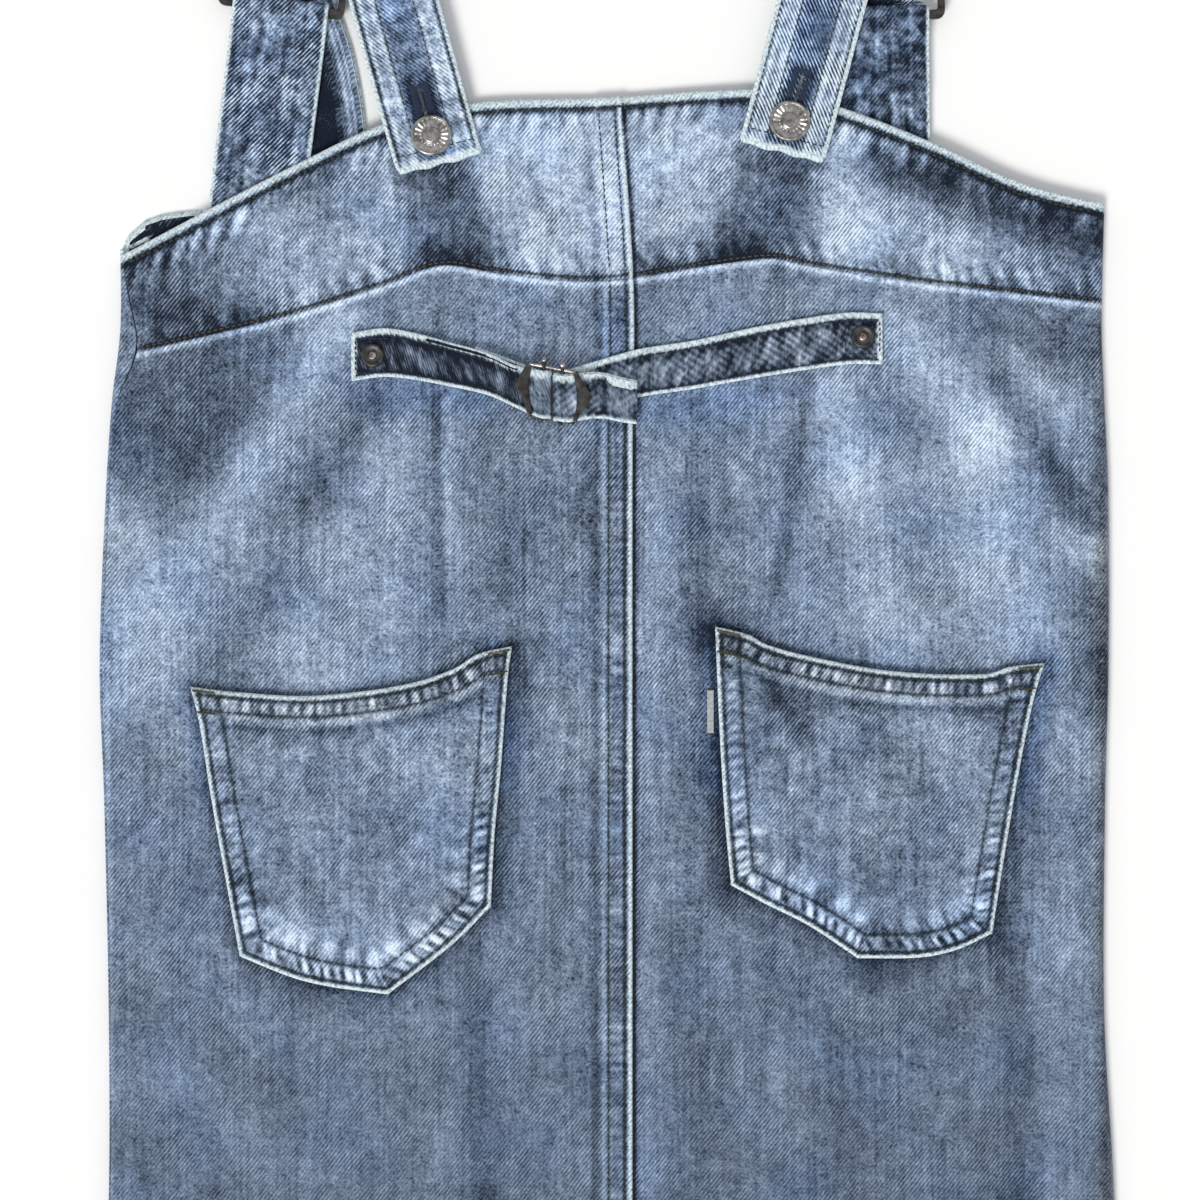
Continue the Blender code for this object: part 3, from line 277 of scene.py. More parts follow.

# Where the denim is bluer (positive) or browner (negative), in the same columns. The browner strip down the
# right side roll is the brownish colour of painted shade there
TINTS = [
    (217, 200, 221, 560, 4, 4, -0.8), (217, 90, 219, 200, 3, 3, -0.5), (-110, 128, -60, 134, 12, 8, 0.35),
    (0, 140, 90, 128, 8, 8, 0.4), (46, 238, 52, 300, 7, 7, 0.6), (-52, 240, -44, 300, 6, 6, 0.5),
    (-186, 262, -176, 300, 6, 6, 0.4), (192, 252, 182, 310, 6, 6, 0.5), (0, 100, 3, 130, 6, 6, 0.4),
]

TWILL_PITCH = 1.45
TWILL_ANGLE = math.radians(52)


# ---- numbers


def read(table, at, column=1):
    """A table's column between its rows, on a smooth curve through them."""
    keys = np.array([row[0] for row in table], float)
    values = np.array([row[column] for row in table], float)
    at = np.clip(np.asarray(at, float), keys[0], keys[-1])
    row = np.clip(np.searchsorted(keys, at, side="right") - 1, 0, len(keys) - 2)
    slopes = np.zeros(len(keys))
    slopes[1:-1] = (values[2:] - values[:-2]) / (keys[2:] - keys[:-2])
    slopes[0] = (values[1] - values[0]) / (keys[1] - keys[0])
    slopes[-1] = (values[-1] - values[-2]) / (keys[-1] - keys[-2])
    span = keys[row + 1] - keys[row]
    t = (at - keys[row]) / span
    return (
        values[row] * (1 + 2 * t) * (1 - t) ** 2
        + values[row + 1] * t * t * (3 - 2 * t)
        + slopes[row] * span * t * (1 - t) ** 2
        - slopes[row + 1] * span * t * t * (1 - t)
    )


def smoothstep(value, low, high):
    share = np.clip((value - low) / (high - low), 0.0, 1.0)
    return share * share * (3 - 2 * share)


def ridge(value, middle, half):
    """A soft ridge one high."""
    return np.exp(-(((value - middle) / half) ** 2))


def rounded(off, reach):
    """1 at an edge, easing to 0 at a reach from it, to take the cloth down to a round edge."""
    return np.clip(1 - off / reach, 0, 1) ** 2


def wobble(at, pitch, seed=0.0):
    """An uneven wave of about that pitch."""
    turn = 2 * np.pi * np.asarray(at, float) / pitch
    waves = np.sin(turn + seed) + 0.7 * np.sin(0.618 * turn + 2.1 * seed + 1)
    return (waves + 0.5 * np.sin(1.47 * turn + 3.3 * seed + 2)) / 2.2


def puckers(along, pitch, seed=0):
    """Uneven flat-topped bumps from 0 to 1 at about that pitch, with narrow gaps between them."""
    cell = np.floor(along / pitch)
    best = np.zeros(np.shape(along))
    for neighbour in (-1, 0, 1):
        number = cell + neighbour
        chance = np.mod(np.sin(number * 12.9898 + seed * 78.233) * 43758.5453, 1)
        other = np.mod(np.sin(number * 39.346 + seed * 11.135) * 24634.6345, 1)
        middle = (number + 0.5 + 0.5 * (chance - 0.5)) * pitch
        half = pitch * (0.26 + 0.2 * chance)
        best = np.maximum(best, (0.4 + 0.6 * other) * np.exp(-(((along - middle) / half) ** 4)))
    return best


def place(across, down, height):
    """Points of the garment, in the model's own frame, in metres."""
    return np.stack(np.broadcast_arrays(across, MIDDLE_DOWN - np.asarray(down, float), height), -1) * MM


def along_line(across, down, start_a, start_d, end_a, end_d):
    """How far along a line points lie, as a share of it, how far beyond its ends and how far beside it."""
    run_a, run_d = end_a - start_a or 0.01, end_d - start_d
    length = math.hypot(run_a, run_d)
    along = ((across - start_a) * run_a + (down - start_d) * run_d) / length
    aside = np.abs((across - start_a) * run_d - (down - start_d) * run_a) / length
    beyond = np.maximum(0, np.maximum(-along, along - length))
    return np.clip(along / length, 0, 1), beyond, aside


def marks_at(marks, across, down):
    """What a table of wash marks adds at points."""
    total = np.zeros(np.broadcast(across, down).shape)
    for start_a, start_d, end_a, end_d, wide_start, wide_end, lighter, *crisp in marks:
        share, beyond, aside = along_line(across, down, start_a, start_d, end_a, end_d)
        half = wide_start + (wide_end - wide_start) * share
        total += lighter * np.exp(-0.7 * (np.hypot(aside, beyond) / half) ** (crisp[0] if crisp else 2))
    return total


def reached(points):
    """How far along a path each of its points lies."""
    return np.concatenate([[0], np.cumsum(np.linalg.norm(np.diff(points, axis=0), axis=1))])


def nearest(across, down, path):
    """Distance from points to a path of across and down, and how far along it the nearest place is."""
    path = np.asarray(path, float)
    best, where = np.full(across.shape, 1e9), np.zeros(across.shape)
    for (a, d), (run_a, run_d), start in zip(path[:-1], np.diff(path, axis=0), reached(path)):
        length = math.hypot(run_a, run_d)
        if length == 0:
            continue
        t = np.clip(((across - a) * run_a + (down - d) * run_d) / length**2, 0, 1)
        far = np.hypot(across - a - t * run_a, down - d - t * run_d)
        where = np.where(far < best, start + t * length, where)
        best = np.minimum(far, best)
    return best, where


def beside(path):
    """Unit vectors across a path of across and down, to its right as it runs."""
    run = np.gradient(np.asarray(path, float), axis=0)
    run /= np.linalg.norm(run, axis=1, keepdims=True)
    return np.stack([-run[:, 1], run[:, 0]], -1)


def paced(path, pitch):
    """A path's points at an even pitch."""
    path = np.asarray(path, float)
    lengths = reached(path)
    at = np.arange(0, lengths[-1], pitch)
    return np.stack([np.interp(at, lengths, column) for column in path.T], -1)


# ---- the garment's surface


def flat_edge(side, down):
    """Where the flat of the back turns into the side roll, as a distance from the middle."""
    left, right = read(OUTLINE, down, 1), read(OUTLINE, down, 2)
    return np.where(np.asarray(side) < 0, left, right) - SIDE_FOLD


def fold_height(folds, across, down):
    total = np.zeros(np.broadcast(across, down).shape)
    for start_a, start_d, end_a, end_d, wide_start, wide_end, rise in folds:
        share, beyond, aside = along_line(across, down, start_a, start_d, end_a, end_d)
        reach = np.hypot(aside / (wide_start + (wide_end - wide_start) * share), beyond / FOLD_FADE)
        total += rise * (0.5 + 0.5 * np.cos(np.pi * np.minimum(reach / FOLD_REACH, 1)))
    return total


def back_height(across, down):
    """Height of the back's outer surface, without its seams."""
    across, down = np.asarray(across, float), np.asarray(down, float)
    edge = flat_edge(across, down)
    creases = fold_height(CREASES, across, down)
    creases += 0.12 * wobble(across + 0.4 * down, 37, 1) * wobble(down - 0.3 * across, 51, 2)
    body = np.clip(LIFT_REST + fold_height(FOLDS, across, down), LIFT_LEAST + 0.2, LIFT_MOST)
    yoke = read(YOKE_HEIGHT, across)
    height = yoke + (body - yoke) * smoothstep(down, 60, 118)
    height = np.maximum(height + creases, LIFT_LEAST + 0.1)
    hem = smoothstep(down, BODY_LENGTH - 2.2 * HEM, BODY_LENGTH - 1.2 * HEM)
    height += (np.maximum(height, 4 * CLOTH + 2 * GAP) - height) * hem
    side = smoothstep(np.abs(across), edge - 42, edge - 2)
    return height + (2 * SIDE_FOLD - height) * side


def band(down):
    """Left and right edge of the felled centre seam."""
    shift = read(SEAM_LEAN, down)
    return SEAM_BAND[0] + shift, SEAM_BAND[1] + shift


def seams(across, down):
    """Distances that the seams' relief and wear are worked out from: below the top edge, below the yoke seam,
    right of the centre band's left edge and left of its right edge."""
    left, right = band(down)
    slope = np.cos(np.arctan((read(BACK_TOP, across + 1) - read(BACK_TOP, across - 1)) / 2))
    top = (down - read(BACK_TOP, across)) * slope
    return top, down - read(YOKE_SEAM, across), across - left, right - across


def drawn_in(along, off, seed):
    """Where a long seam's stitches draw the cloth in: slanted bumps, more in some places than in others."""
    return puckers(along + 0.35 * off, 8.6, seed) * np.clip(0.75 + 0.6 * wobble(along, 97, seed), 0.25, 1.2)


def ladder(down):
    """The centre seam's steps between its two rows."""
    return puckers(down, 5.2, 5) * np.clip(0.7 + 0.6 * wobble(down, 61, 2), 0.2, 1.2)


def back_surface(across, down):
    """Height of the back with its seams: what is sewn to it, or lies on it, follows this."""
    across, down = np.asarray(across, float), np.asarray(down, float)
    top, yoke, from_left, from_right = seams(across, down)
    on_yoke, on_skirt = yoke < 0, yoke >= 0
    # Top edge: two layers down to 9.5 mm, a row at 4.5 mm, and bumps where it draws the cloth in
    extra = 0.35 * (1 - smoothstep(top, 8.5, 10.5)) - 0.38 * ridge(top, 4.5, 0.8) - 0.5 * rounded(top, 0.9)
    extra += (drawn_in(across, top, 1) - 0.4) * ridge(top, 10, 5.5)
    extra += 0.14 * wobble(across, 5.5, 2) * ridge(top, 2, 2)
    # Yoke seam: turned up under the yoke, with a rounded edge on the skirt's side
    drawn_up = 0.5 * (drawn_in(across, -yoke, 3) - 0.4) * ridge(yoke, -6.5, 4.5)
    drawn_down = 0.3 * (drawn_in(across, yoke, 4) - 0.4) * ridge(yoke, 5.0, 4.5)
    extra += on_yoke * (0.3 * smoothstep(yoke, -11, -9) - 0.4 * ridge(yoke, -1.5, 0.8) + drawn_up)
    extra += on_skirt * (0.42 * ridge(yoke, 1.2, 1.3) + drawn_down)
    # Centre seam: a raised band with two rows
    inside = smoothstep(from_left, -1.2, 0) * (from_right > -GAP)
    rows = np.sum([ridge(from_left, row, 0.7) for row in SEAM_ROWS], axis=0)
    steps = 0.4 * (ladder(down) - 0.4) * ridge(from_left, 4.9, 2.8)
    extra += inside * (SEAM_RISE + steps - 0.3 * rows + 0.22 * ridge(from_right, 1.2, 1.0))
    extra -= 0.25 * ridge(from_left, -3.5, 2.2)
    edge = flat_edge(across, down)
    return back_height(across, down) + extra * (1 - smoothstep(np.abs(across), edge - 4, edge))


def back_top(across, down):
    """The plain back with its centre band, which the straps, pockets and cinch rest on."""
    left, right = band(down)
    return back_height(across, down) + SEAM_RISE * smoothstep(across, left - 1.2, left) * (across < right + GAP)


def tube(girth, down):
    """Outer surface all round: girth runs from the middle of the back, over a side roll, to the front."""
    side = np.where(girth < 0, -1.0, 1.0)
    edge = flat_edge(side, down)
    beyond = np.abs(girth) - edge
    half_turn = np.pi * SIDE_FOLD
    turn = np.clip(beyond / SIDE_FOLD, 0, np.pi)
    across = side * np.where(beyond < half_turn, edge + SIDE_FOLD * np.sin(turn), edge - (beyond - half_turn))
    across = np.where(beyond <= 0, girth, across)
    return across, np.where(beyond <= 0, back_surface(across, down), SIDE_FOLD * (1 + np.cos(turn)))


def seam_girth(side, down):
    """Girth of a side seam."""
    edge = flat_edge(side, down)
    if side > 0:
        return edge + SIDE_FOLD * RIGHT_SEAM_ANGLE
    inset = read(LEFT_SEAM_INSET, down)
    turned_in = SIDE_FOLD * np.arcsin(np.clip(1 - inset / SIDE_FOLD, -1, 1))
    return np.where(inset > SIDE_FOLD, edge - (inset - SIDE_FOLD), edge + turned_in)


# ---- materials


def hex_colour(code):
    """An sRGB hex colour as linear light."""
    shares = [int(code[i : i + 2], 16) / 255 for i in (0, 2, 4)]
    return tuple(s / 12.92 if s <= 0.04045 else ((s + 0.055) / 1.055) ** 2.4 for s in shares) + (1.0,)


def node(tree, kind, inputs=None, output=0, stops=(), **settings):
    """Adds a node with its settings, values, links and colour stops, and returns one of its outputs."""
    made = tree.nodes.new("ShaderNode" + kind)
    for key, value in settings.items():
        setattr(made, key, value)
    for key, value in (inputs or {}).items():
        if isinstance(value, bpy.types.NodeSocket):
            tree.links.new(value, made.inputs[key])
        else:
            made.inputs[key].default_value = value
    if stops:
        elements = made.color_ramp.elements
        while len(elements) < len(stops):
            elements.new(0.5)
        for element, (at, code) in zip(elements, stops):
            element.position, element.color = at, hex_colour(code)
    return made.outputs[output]


def new_material(name, **values):
    """A material and its node tree, with the shader's own values set."""
    material = bpy.data.materials.new(name)
    material.use_nodes = True
    shader = material.node_tree.nodes["Principled BSDF"]
    for key, value in values.items():
        shader.inputs[key.replace("_", " ")].default_value = value
    return material, material.node_tree


def dress(material, colour, relief=None, strength=1.0, depth=MM):
    """Links a material's colour to its shader, and a bump of its relief."""
    tree = material.node_tree
    shader = tree.nodes["Principled BSDF"]
    tree.links.new(colour, shader.inputs["Base Color"])
    if relief is not None:
        bump = node(tree, "Bump", {"Height": relief, "Strength": strength, "Distance": depth})
        tree.links.new(bump, shader.inputs["Normal"])
    return material


# Indigo denim from its deepest dye to where the wash has worn it to bare cotton: lightness, colour
DENIM_DYE = [
    (0.08, "091426"), (0.20, "253243"), (0.31, "425064"), (0.43, "5f6e84"), (0.55, "7b8ca4"),
    (0.67, "97aac4"), (0.78, "b4c8e2"), (0.90, "d5e6fa"), (0.97, "e8f7fd"),
]


COTTON = [(0.25, "8ea3b0"), (0.45, "c9dae1"), (0.65, "eefafd")]
BLUER, GREYER = (0.62, 0.9, 1.3, 1), (1.12, 1.0, 0.82, 1)  # what a tint of 1 or -1 multiplies the dye by
FLAT = 1000.0  # a third size so large that a pattern doesn't change with the third value

# Vectors for drawn-out patterns: from which attribute, turned how far, and how wide and long in mm
DRAWN_OUT = {
    "twill": ("grain", -TWILL_ANGLE, 2.6, 0.8),
    "warp": ("grain", 0.0, 1.5, 45.0),
    "streak": ("grain", 0.0, 8.0, 26.0),
    "rope": ("seam", 0.0, 3.4, 4.5),
}

# Noises round zero: their vector, size (mm where the vector is the cloth's own grain), detail and roughness
NOISES = {
    "drift": ("grain", 9.0, 0.0, 0.5),
    "dashes": ("twill", 1.0, 1.0, 0.5),
    "clearing": ("grain", 22.0, 1.0, 0.6),
    "crinkle": ("bent", 1.75, 1.5, 0.5),
    "specks": ("grain", 1.25, 1.5, 0.6),
    "slubs": ("warp", 1.0, 0.0, 0.5),
    "clouds": ("grain", 5.5, 2.5, 0.6),
    "banks": ("grain", 30.0, 0.0, 0.5),
    "streaks": ("streak", 1.0, 1.0, 0.6),
    "sway": ("grain", 6.0, 0.0, 0.5),
    "ropes": ("rope", 1.0, 1.5, 0.5),
    "ragged": ("grain", 1.6, 2.0, 0.5),
    "patches": ("grain", 34.0, 0.0, 0.5),
    "relief": ("grain", 3.2, 1.0, 0.5),
}

# Bands along a seam or an edge: which distance, at what value and half how wide, in mm. The groove band is
# painted shade in the stitch rows' channels, and the band beside an edge is painted shade just inside a worn
# edge
BESIDE = {"near seam": ("off", 6.0, 3.2), "groove shade": ("off", 4.6, 0.8), "shade inside edge": ("edge", 2.5, 0.8)}


def washed_denim(name, twill=1.0, speckle=1.0, mottle=1.0):
    """Right-hand indigo twill, stone washed. The weft's white shows in slanted lines, the dye has gone in
    specks and clouds, seams have roped into light and dark ribs, and folded edges are worn to bare cotton."""
    values = {"Roughness": 0.88, "Sheen_Weight": 0.12, "Sheen_Roughness": 0.5, "Specular_IOR_Level": 0.25}
    material, tree = new_material(name, **values)
    made = {key: node(tree, "Attribute", attribute_name=key, output=1) for key in ("grain", "seam")}
    for key in ("wash_and_shade", "edge", "tint"):
        made[key] = node(tree, "Attribute", attribute_name=key, output=2)
    made["along"], made["off"], made["strong"] = node(tree, "SeparateXYZ", {0: made["seam"]}).node.outputs
    made["down"] = node(tree, "SeparateXYZ", {0: made["grain"]}, 1)
    slope = [2 * math.pi / TWILL_PITCH * share for share in (math.sin(TWILL_ANGLE), math.cos(TWILL_ANGLE))]
    made["lines"] = node(tree, "VectorMath", {0: made["grain"], 1: (*slope, 0)}, 1, operation="DOT_PRODUCT")
    swirl = node(tree, "TexNoise", {"Vector": made["grain"], "Scale": 0.3, "Detail": 0.0}, 1)
    bent = {0: swirl, 1: (2.2, 2.2, 2.2), 2: made["grain"]}
    made["bent"] = node(tree, "VectorMath", bent, operation="MULTIPLY_ADD")
    for key, (source, turned, wide, long) in DRAWN_OUT.items():
        sizes = {"Vector": made[source], "Rotation": (0, 0, turned), "Scale": (wide, long, FLAT)}
        made[key] = node(tree, "Mapping", sizes, vector_type="TEXTURE")
    for key, (vector, size, detail, rough) in NOISES.items():
        settings = {"Vector": made[vector], "Scale": 1 / size, "Detail": detail, "Roughness": rough}
        made[key] = node(tree, "Math", {0: node(tree, "TexNoise", settings), 1: 0.5}, operation="SUBTRACT")
    clear = {0: made["clearing"], 1: 2.6, 2: 0.62}
    made["clear"] = node(tree, "Math", clear, operation="MULTIPLY_ADD", use_clamp=True)
    # All of it is livelier high on the garment than low down, where the wash has left it even
    made["lively"] = node(tree, "MapRange", {0: made["down"], 1: 260.0, 2: 460.0, 3: 1.27, 4: 0.93})

    def work_out(rows):
        """Each row: what it gives, how, and from which values."""
        for gives, operation, *values in rows:
            inputs = {at: made.get(value, value) for at, value in enumerate(values)}
            made[gives] = node(tree, "Math", inputs, operation=operation)

    for key, (off, middle, half) in BESIDE.items():
        work_out([
            (key, "MULTIPLY_ADD", off, 1 / half, -middle / half),
            (key, "MULTIPLY", key, key),
            (key, "POWER", math.exp(-1), key),
        ])
    work_out([
        # The twill: slanted lines that drift, broken into dashes, clear in some places and felted in others
        ("phase", "MULTIPLY_ADD", "drift", 2.2, "lines"),
        ("weave", "SINE", "phase"),
        ("dashes", "MULTIPLY_ADD", "dashes", 3.4, 1.0),
        ("weave", "MULTIPLY", "weave", "dashes"),
        ("weave", "MULTIPLY", "weave", "clear"),
        # The felted wash between its lines: crinkles, then clouds and streaks
        ("crinkle", "ABSOLUTE", "crinkle"),
        ("crinkle", "SUBTRACT", 0.085, "crinkle"),
        ("felted", "MULTIPLY_ADD", "clear", -0.75, 1.0),
        ("felt", "MULTIPLY", "crinkle", "felted"),
        ("clouds", "MULTIPLY", "clouds", 0.56 * mottle),
        ("clouds", "MULTIPLY_ADD", "banks", 0.24 * mottle, "clouds"),
        ("clouds", "MULTIPLY_ADD", "streaks", 0.22 * mottle, "clouds"),
        # Roping along the seams: short ribs across them, dark where the cloth is drawn in
        ("turn", "MULTIPLY", "sway", 5.0),
        ("turn", "MULTIPLY_ADD", "along", 2 * math.pi / 4.6, "turn"),
        ("turn", "MULTIPLY_ADD", "off", 0.35, "turn"),
        ("turn", "SINE", "turn"),
        ("turn", "MULTIPLY", "turn", 0.45),
        ("ribs", "MULTIPLY_ADD", "ropes", 2.2, "turn"),
        ("near seam", "MULTIPLY", "near seam", "strong"),
        ("ribs", "MULTIPLY", "ribs", "near seam"),
        ("deep", "MULTIPLY", "strong", 1.6),
        ("deep", "MINIMUM", "deep", 1.0),
        ("groove shade", "MULTIPLY", "groove shade", "deep"),
        # How light the dye is
        ("texture", "MULTIPLY_ADD", "weave", 0.13 * twill, "clouds"),
        ("texture", "MULTIPLY_ADD", "felt", speckle, "texture"),
        ("texture", "MULTIPLY_ADD", "specks", 0.38 * speckle, "texture"),
        ("texture", "MULTIPLY_ADD", "slubs", 0.16, "texture"),
        # The wash attribute brings the wash together with its painted light and shade
        ("light", "MULTIPLY_ADD", "texture", "lively", "wash_and_shade"),
        ("light", "MULTIPLY_ADD", "ribs", 0.20, "light"),
        # Painted shade in the stitch rows' grooves and in a strip just inside worn edges
        ("light", "MULTIPLY_ADD", "groove shade", -0.24, "light"),
        ("light", "MULTIPLY_ADD", "shade inside edge", -0.12, "light"),
        # Its tint, and the bare cotton of worn edges
        ("tint", "MULTIPLY_ADD", "patches", 0.7, "tint"),
        ("bluer", "MAXIMUM", "tint", 0.0),
        ("greyer", "MULTIPLY", "tint", -1.0),
        ("greyer", "MAXIMUM", "greyer", 0.0),
        ("ragged", "MULTIPLY_ADD", "ragged", 1.8, "edge"),
        ("pale", "ADD", "specks", 0.5),
        ("pale", "MULTIPLY_ADD", "weave", 0.1, "pale"),
        # The relief that the light catches
        ("height", "MULTIPLY", "specks", 0.30),
        ("height", "MULTIPLY_ADD", "felt", 0.9, "height"),
        ("height", "MULTIPLY_ADD", "relief", 0.5, "height"),
        ("height", "MULTIPLY_ADD", "ribs", 0.3, "height"),
    ])
    dye = node(tree, "ValToRGB", {0: made["light"]}, stops=DENIM_DYE)
    for share, colour in (("bluer", BLUER), ("greyer", GREYER)):
        tinted = {0: made[share], 6: dye, 7: colour}
        dye = node(tree, "Mix", tinted, data_type="RGBA", blend_type="MULTIPLY", output=2)
    worn = {0: made["ragged"], 1: 1.8, 2: 0.8, 3: 0.0, 4: 0.95}
    worn = node(tree, "MapRange", worn, interpolation_type="SMOOTHSTEP")
    cotton = node(tree, "ValToRGB", {0: made["pale"]}, stops=COTTON)
    dye = node(tree, "Mix", {0: worn, 6: dye, 7: cotton}, data_type="RGBA", output=2)
    return dress(material, dye, made["height"], 0.9)


def denim_inside():
    """The wrong side of the twill: mostly bare weft, with the indigo warp in small specks."""
    material, tree = new_material("denim_wrong_side", Roughness=0.92, Specular_IOR_Level=0.2)
    grain = node(tree, "Attribute", attribute_name="grain", output=1)
    specks = node(tree, "TexNoise", {"Vector": grain, "Scale": 1 / 0.9, "Detail": 2.0})
    dye = node(tree, "ValToRGB", {0: specks}, stops=[(0.3, "5e7089"), (0.5, "8798ab"), (0.7, "b4c0ca")])
    return dress(material, dye, specks, 0.6, 0.4 * MM)


def spun_thread(name, code):
    """Core-spun polyester sewing thread, dyed in the yarn: matt, with a faint rope twist."""
    material, tree = new_material(name, Roughness=0.7, Sheen_Weight=0.1, Specular_IOR_Level=0.3)
    place_in = node(tree, "TexCoord", output=3)
    fuzz = node(tree, "TexNoise", {"Vector": place_in, "Scale": 1 / (0.5 * MM), "Detail": 2.0})
    dark, light = ((*(min(1.0, share * c) for c in hex_colour(code)[:3]), 1.0) for share in (0.45, 1.5))
    return dress(material, node(tree, "Mix", {0: fuzz, 6: dark, 7: light}, data_type="RGBA", output=2))


def woven_tape():
    """Plain woven polyester tape: pale weft ribs across it, a little dusty."""
    material, tree = new_material("woven_tape", Roughness=0.75, Sheen_Weight=0.1, Specular_IOR_Level=0.3)
    grain = node(tree, "Attribute", attribute_name="grain", output=1)
    ribs = node(tree, "TexWave", {"Vector": grain, "Scale": 0.9, "Distortion": 1.5}, 1, bands_direction="Y")
    dirt = node(tree, "TexNoise", {"Vector": grain, "Scale": 0.8, "Detail": 3.0})
    both = node(tree, "Mix", {0: 0.55, 2: ribs, 3: dirt})
    dye = node(tree, "ValToRGB", {0: both}, stops=[(0.25, "7b8084"), (0.5, "a9adae"), (0.75, "d8dada")])
    return dress(material, dye, ribs, 0.4, 0.15 * MM)


def cast_metal(name, dark, light, rough, patina):
    """Cast zinc, plated and tumbled: the plating is worn on high places and dark in the hollows."""
    material, tree = new_material(name, Roughness=rough, Metallic=1.0)
    place_in = node(tree, "TexCoord", output=3)
    blotch = {"Vector": place_in, "Scale": 1 / (3 * MM), "Detail": 4.0, "Roughness": 0.6}
    blotch = node(tree, "TexNoise", blotch)
    dye = node(tree, "ValToRGB", {0: blotch}, stops=[(0.5 - patina, dark), (0.5 + patina, light)])
    grain = node(tree, "TexNoise", {"Vector": place_in, "Scale": 1 / (0.6 * MM), "Detail": 2.0})
    return dress(material, dye, grain, 0.25, 0.1 * MM)


denim = washed_denim("washed_twill", mottle=0.66)
pocket_denim = washed_denim("washed_twill_pocket", mottle=0.88)
yoke_denim = washed_denim("washed_twill_yoke", twill=1.3, speckle=0.9, mottle=0.95)
strap_denim = {
    "left": washed_denim("washed_twill_strap_left", twill=1.05, speckle=1.2, mottle=1.3),
    "right": washed_denim("washed_twill_strap_right", twill=3.0, speckle=0.6, mottle=1.0),
}
tab_denim = {
    "left": washed_denim("washed_twill_tab_left", twill=2.2, speckle=0.9, mottle=1.5),
    "right": washed_denim("washed_twill_tab_right", twill=0.8, speckle=0.8, mottle=1.9),
}
cinch_denim = washed_denim("washed_twill_cinch", twill=0.75, speckle=0.75, mottle=1.7)
wrong_side = denim_inside()
topstitch = spun_thread("thread_dark_green", "2d3934")
blue_thread = spun_thread("thread_navy", "26344f")
olive_thread = spun_thread("thread_olive", "4a4633")
tape = woven_tape()
antique_silver = cast_metal("antique_silver", "77736d", "cfcdca", 0.34, 0.16)
blackened = cast_metal("blackened_steel", "2d2d2d", "686664", 0.5, 0.22)
rubbed = cast_metal("rubbed_steel", "6a5f5a", "d2c8c3", 0.35, 0.12)


# ---- meshes


def mesh_piece(name, points, faces, materials, inside_from=None, attributes=None):
    """A mesh object riding on the garment. Faces from inside_from on show the second material."""
    mesh = bpy.data.meshes.new(name)
    mesh.from_pydata(points, [], faces)
    for material in materials:
        mesh.materials.append(material)
    if inside_from is not None:
        index = np.zeros(len(mesh.polygons), np.int32)
        index[inside_from:] = 1
        mesh.polygons.foreach_set("material_index", index)
    for key, values in (attributes or {}).items():
        kind, field = ("FLOAT_VECTOR", "vector") if values.ndim == 2 else ("FLOAT", "value")
        attribute = mesh.attributes.new(key, kind, "POINT")
        attribute.data.foreach_set(field, values.astype(np.float32).ravel())
    mesh.shade_smooth()
    mesh.update()
    piece = bpy.data.objects.new(name, mesh)
    bpy.context.scene.collection.objects.link(piece)
    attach(piece, "root")
    return piece


def grid_normals(points):
    normal = np.cross(np.gradient(points, axis=0), np.gradient(points, axis=1))
    return normal / np.maximum(np.linalg.norm(normal, axis=-1, keepdims=True), 1e-12)


def round_of(grid):
    """The values round the rim of a grid, once each."""
    return np.concatenate([grid[0, :-1], grid[:-1, -1], grid[-1, :0:-1], grid[:0:-1, 0]])


ROUND_OUT = 0.35  # how far a cloth's rim bulges, as a share of its thickness


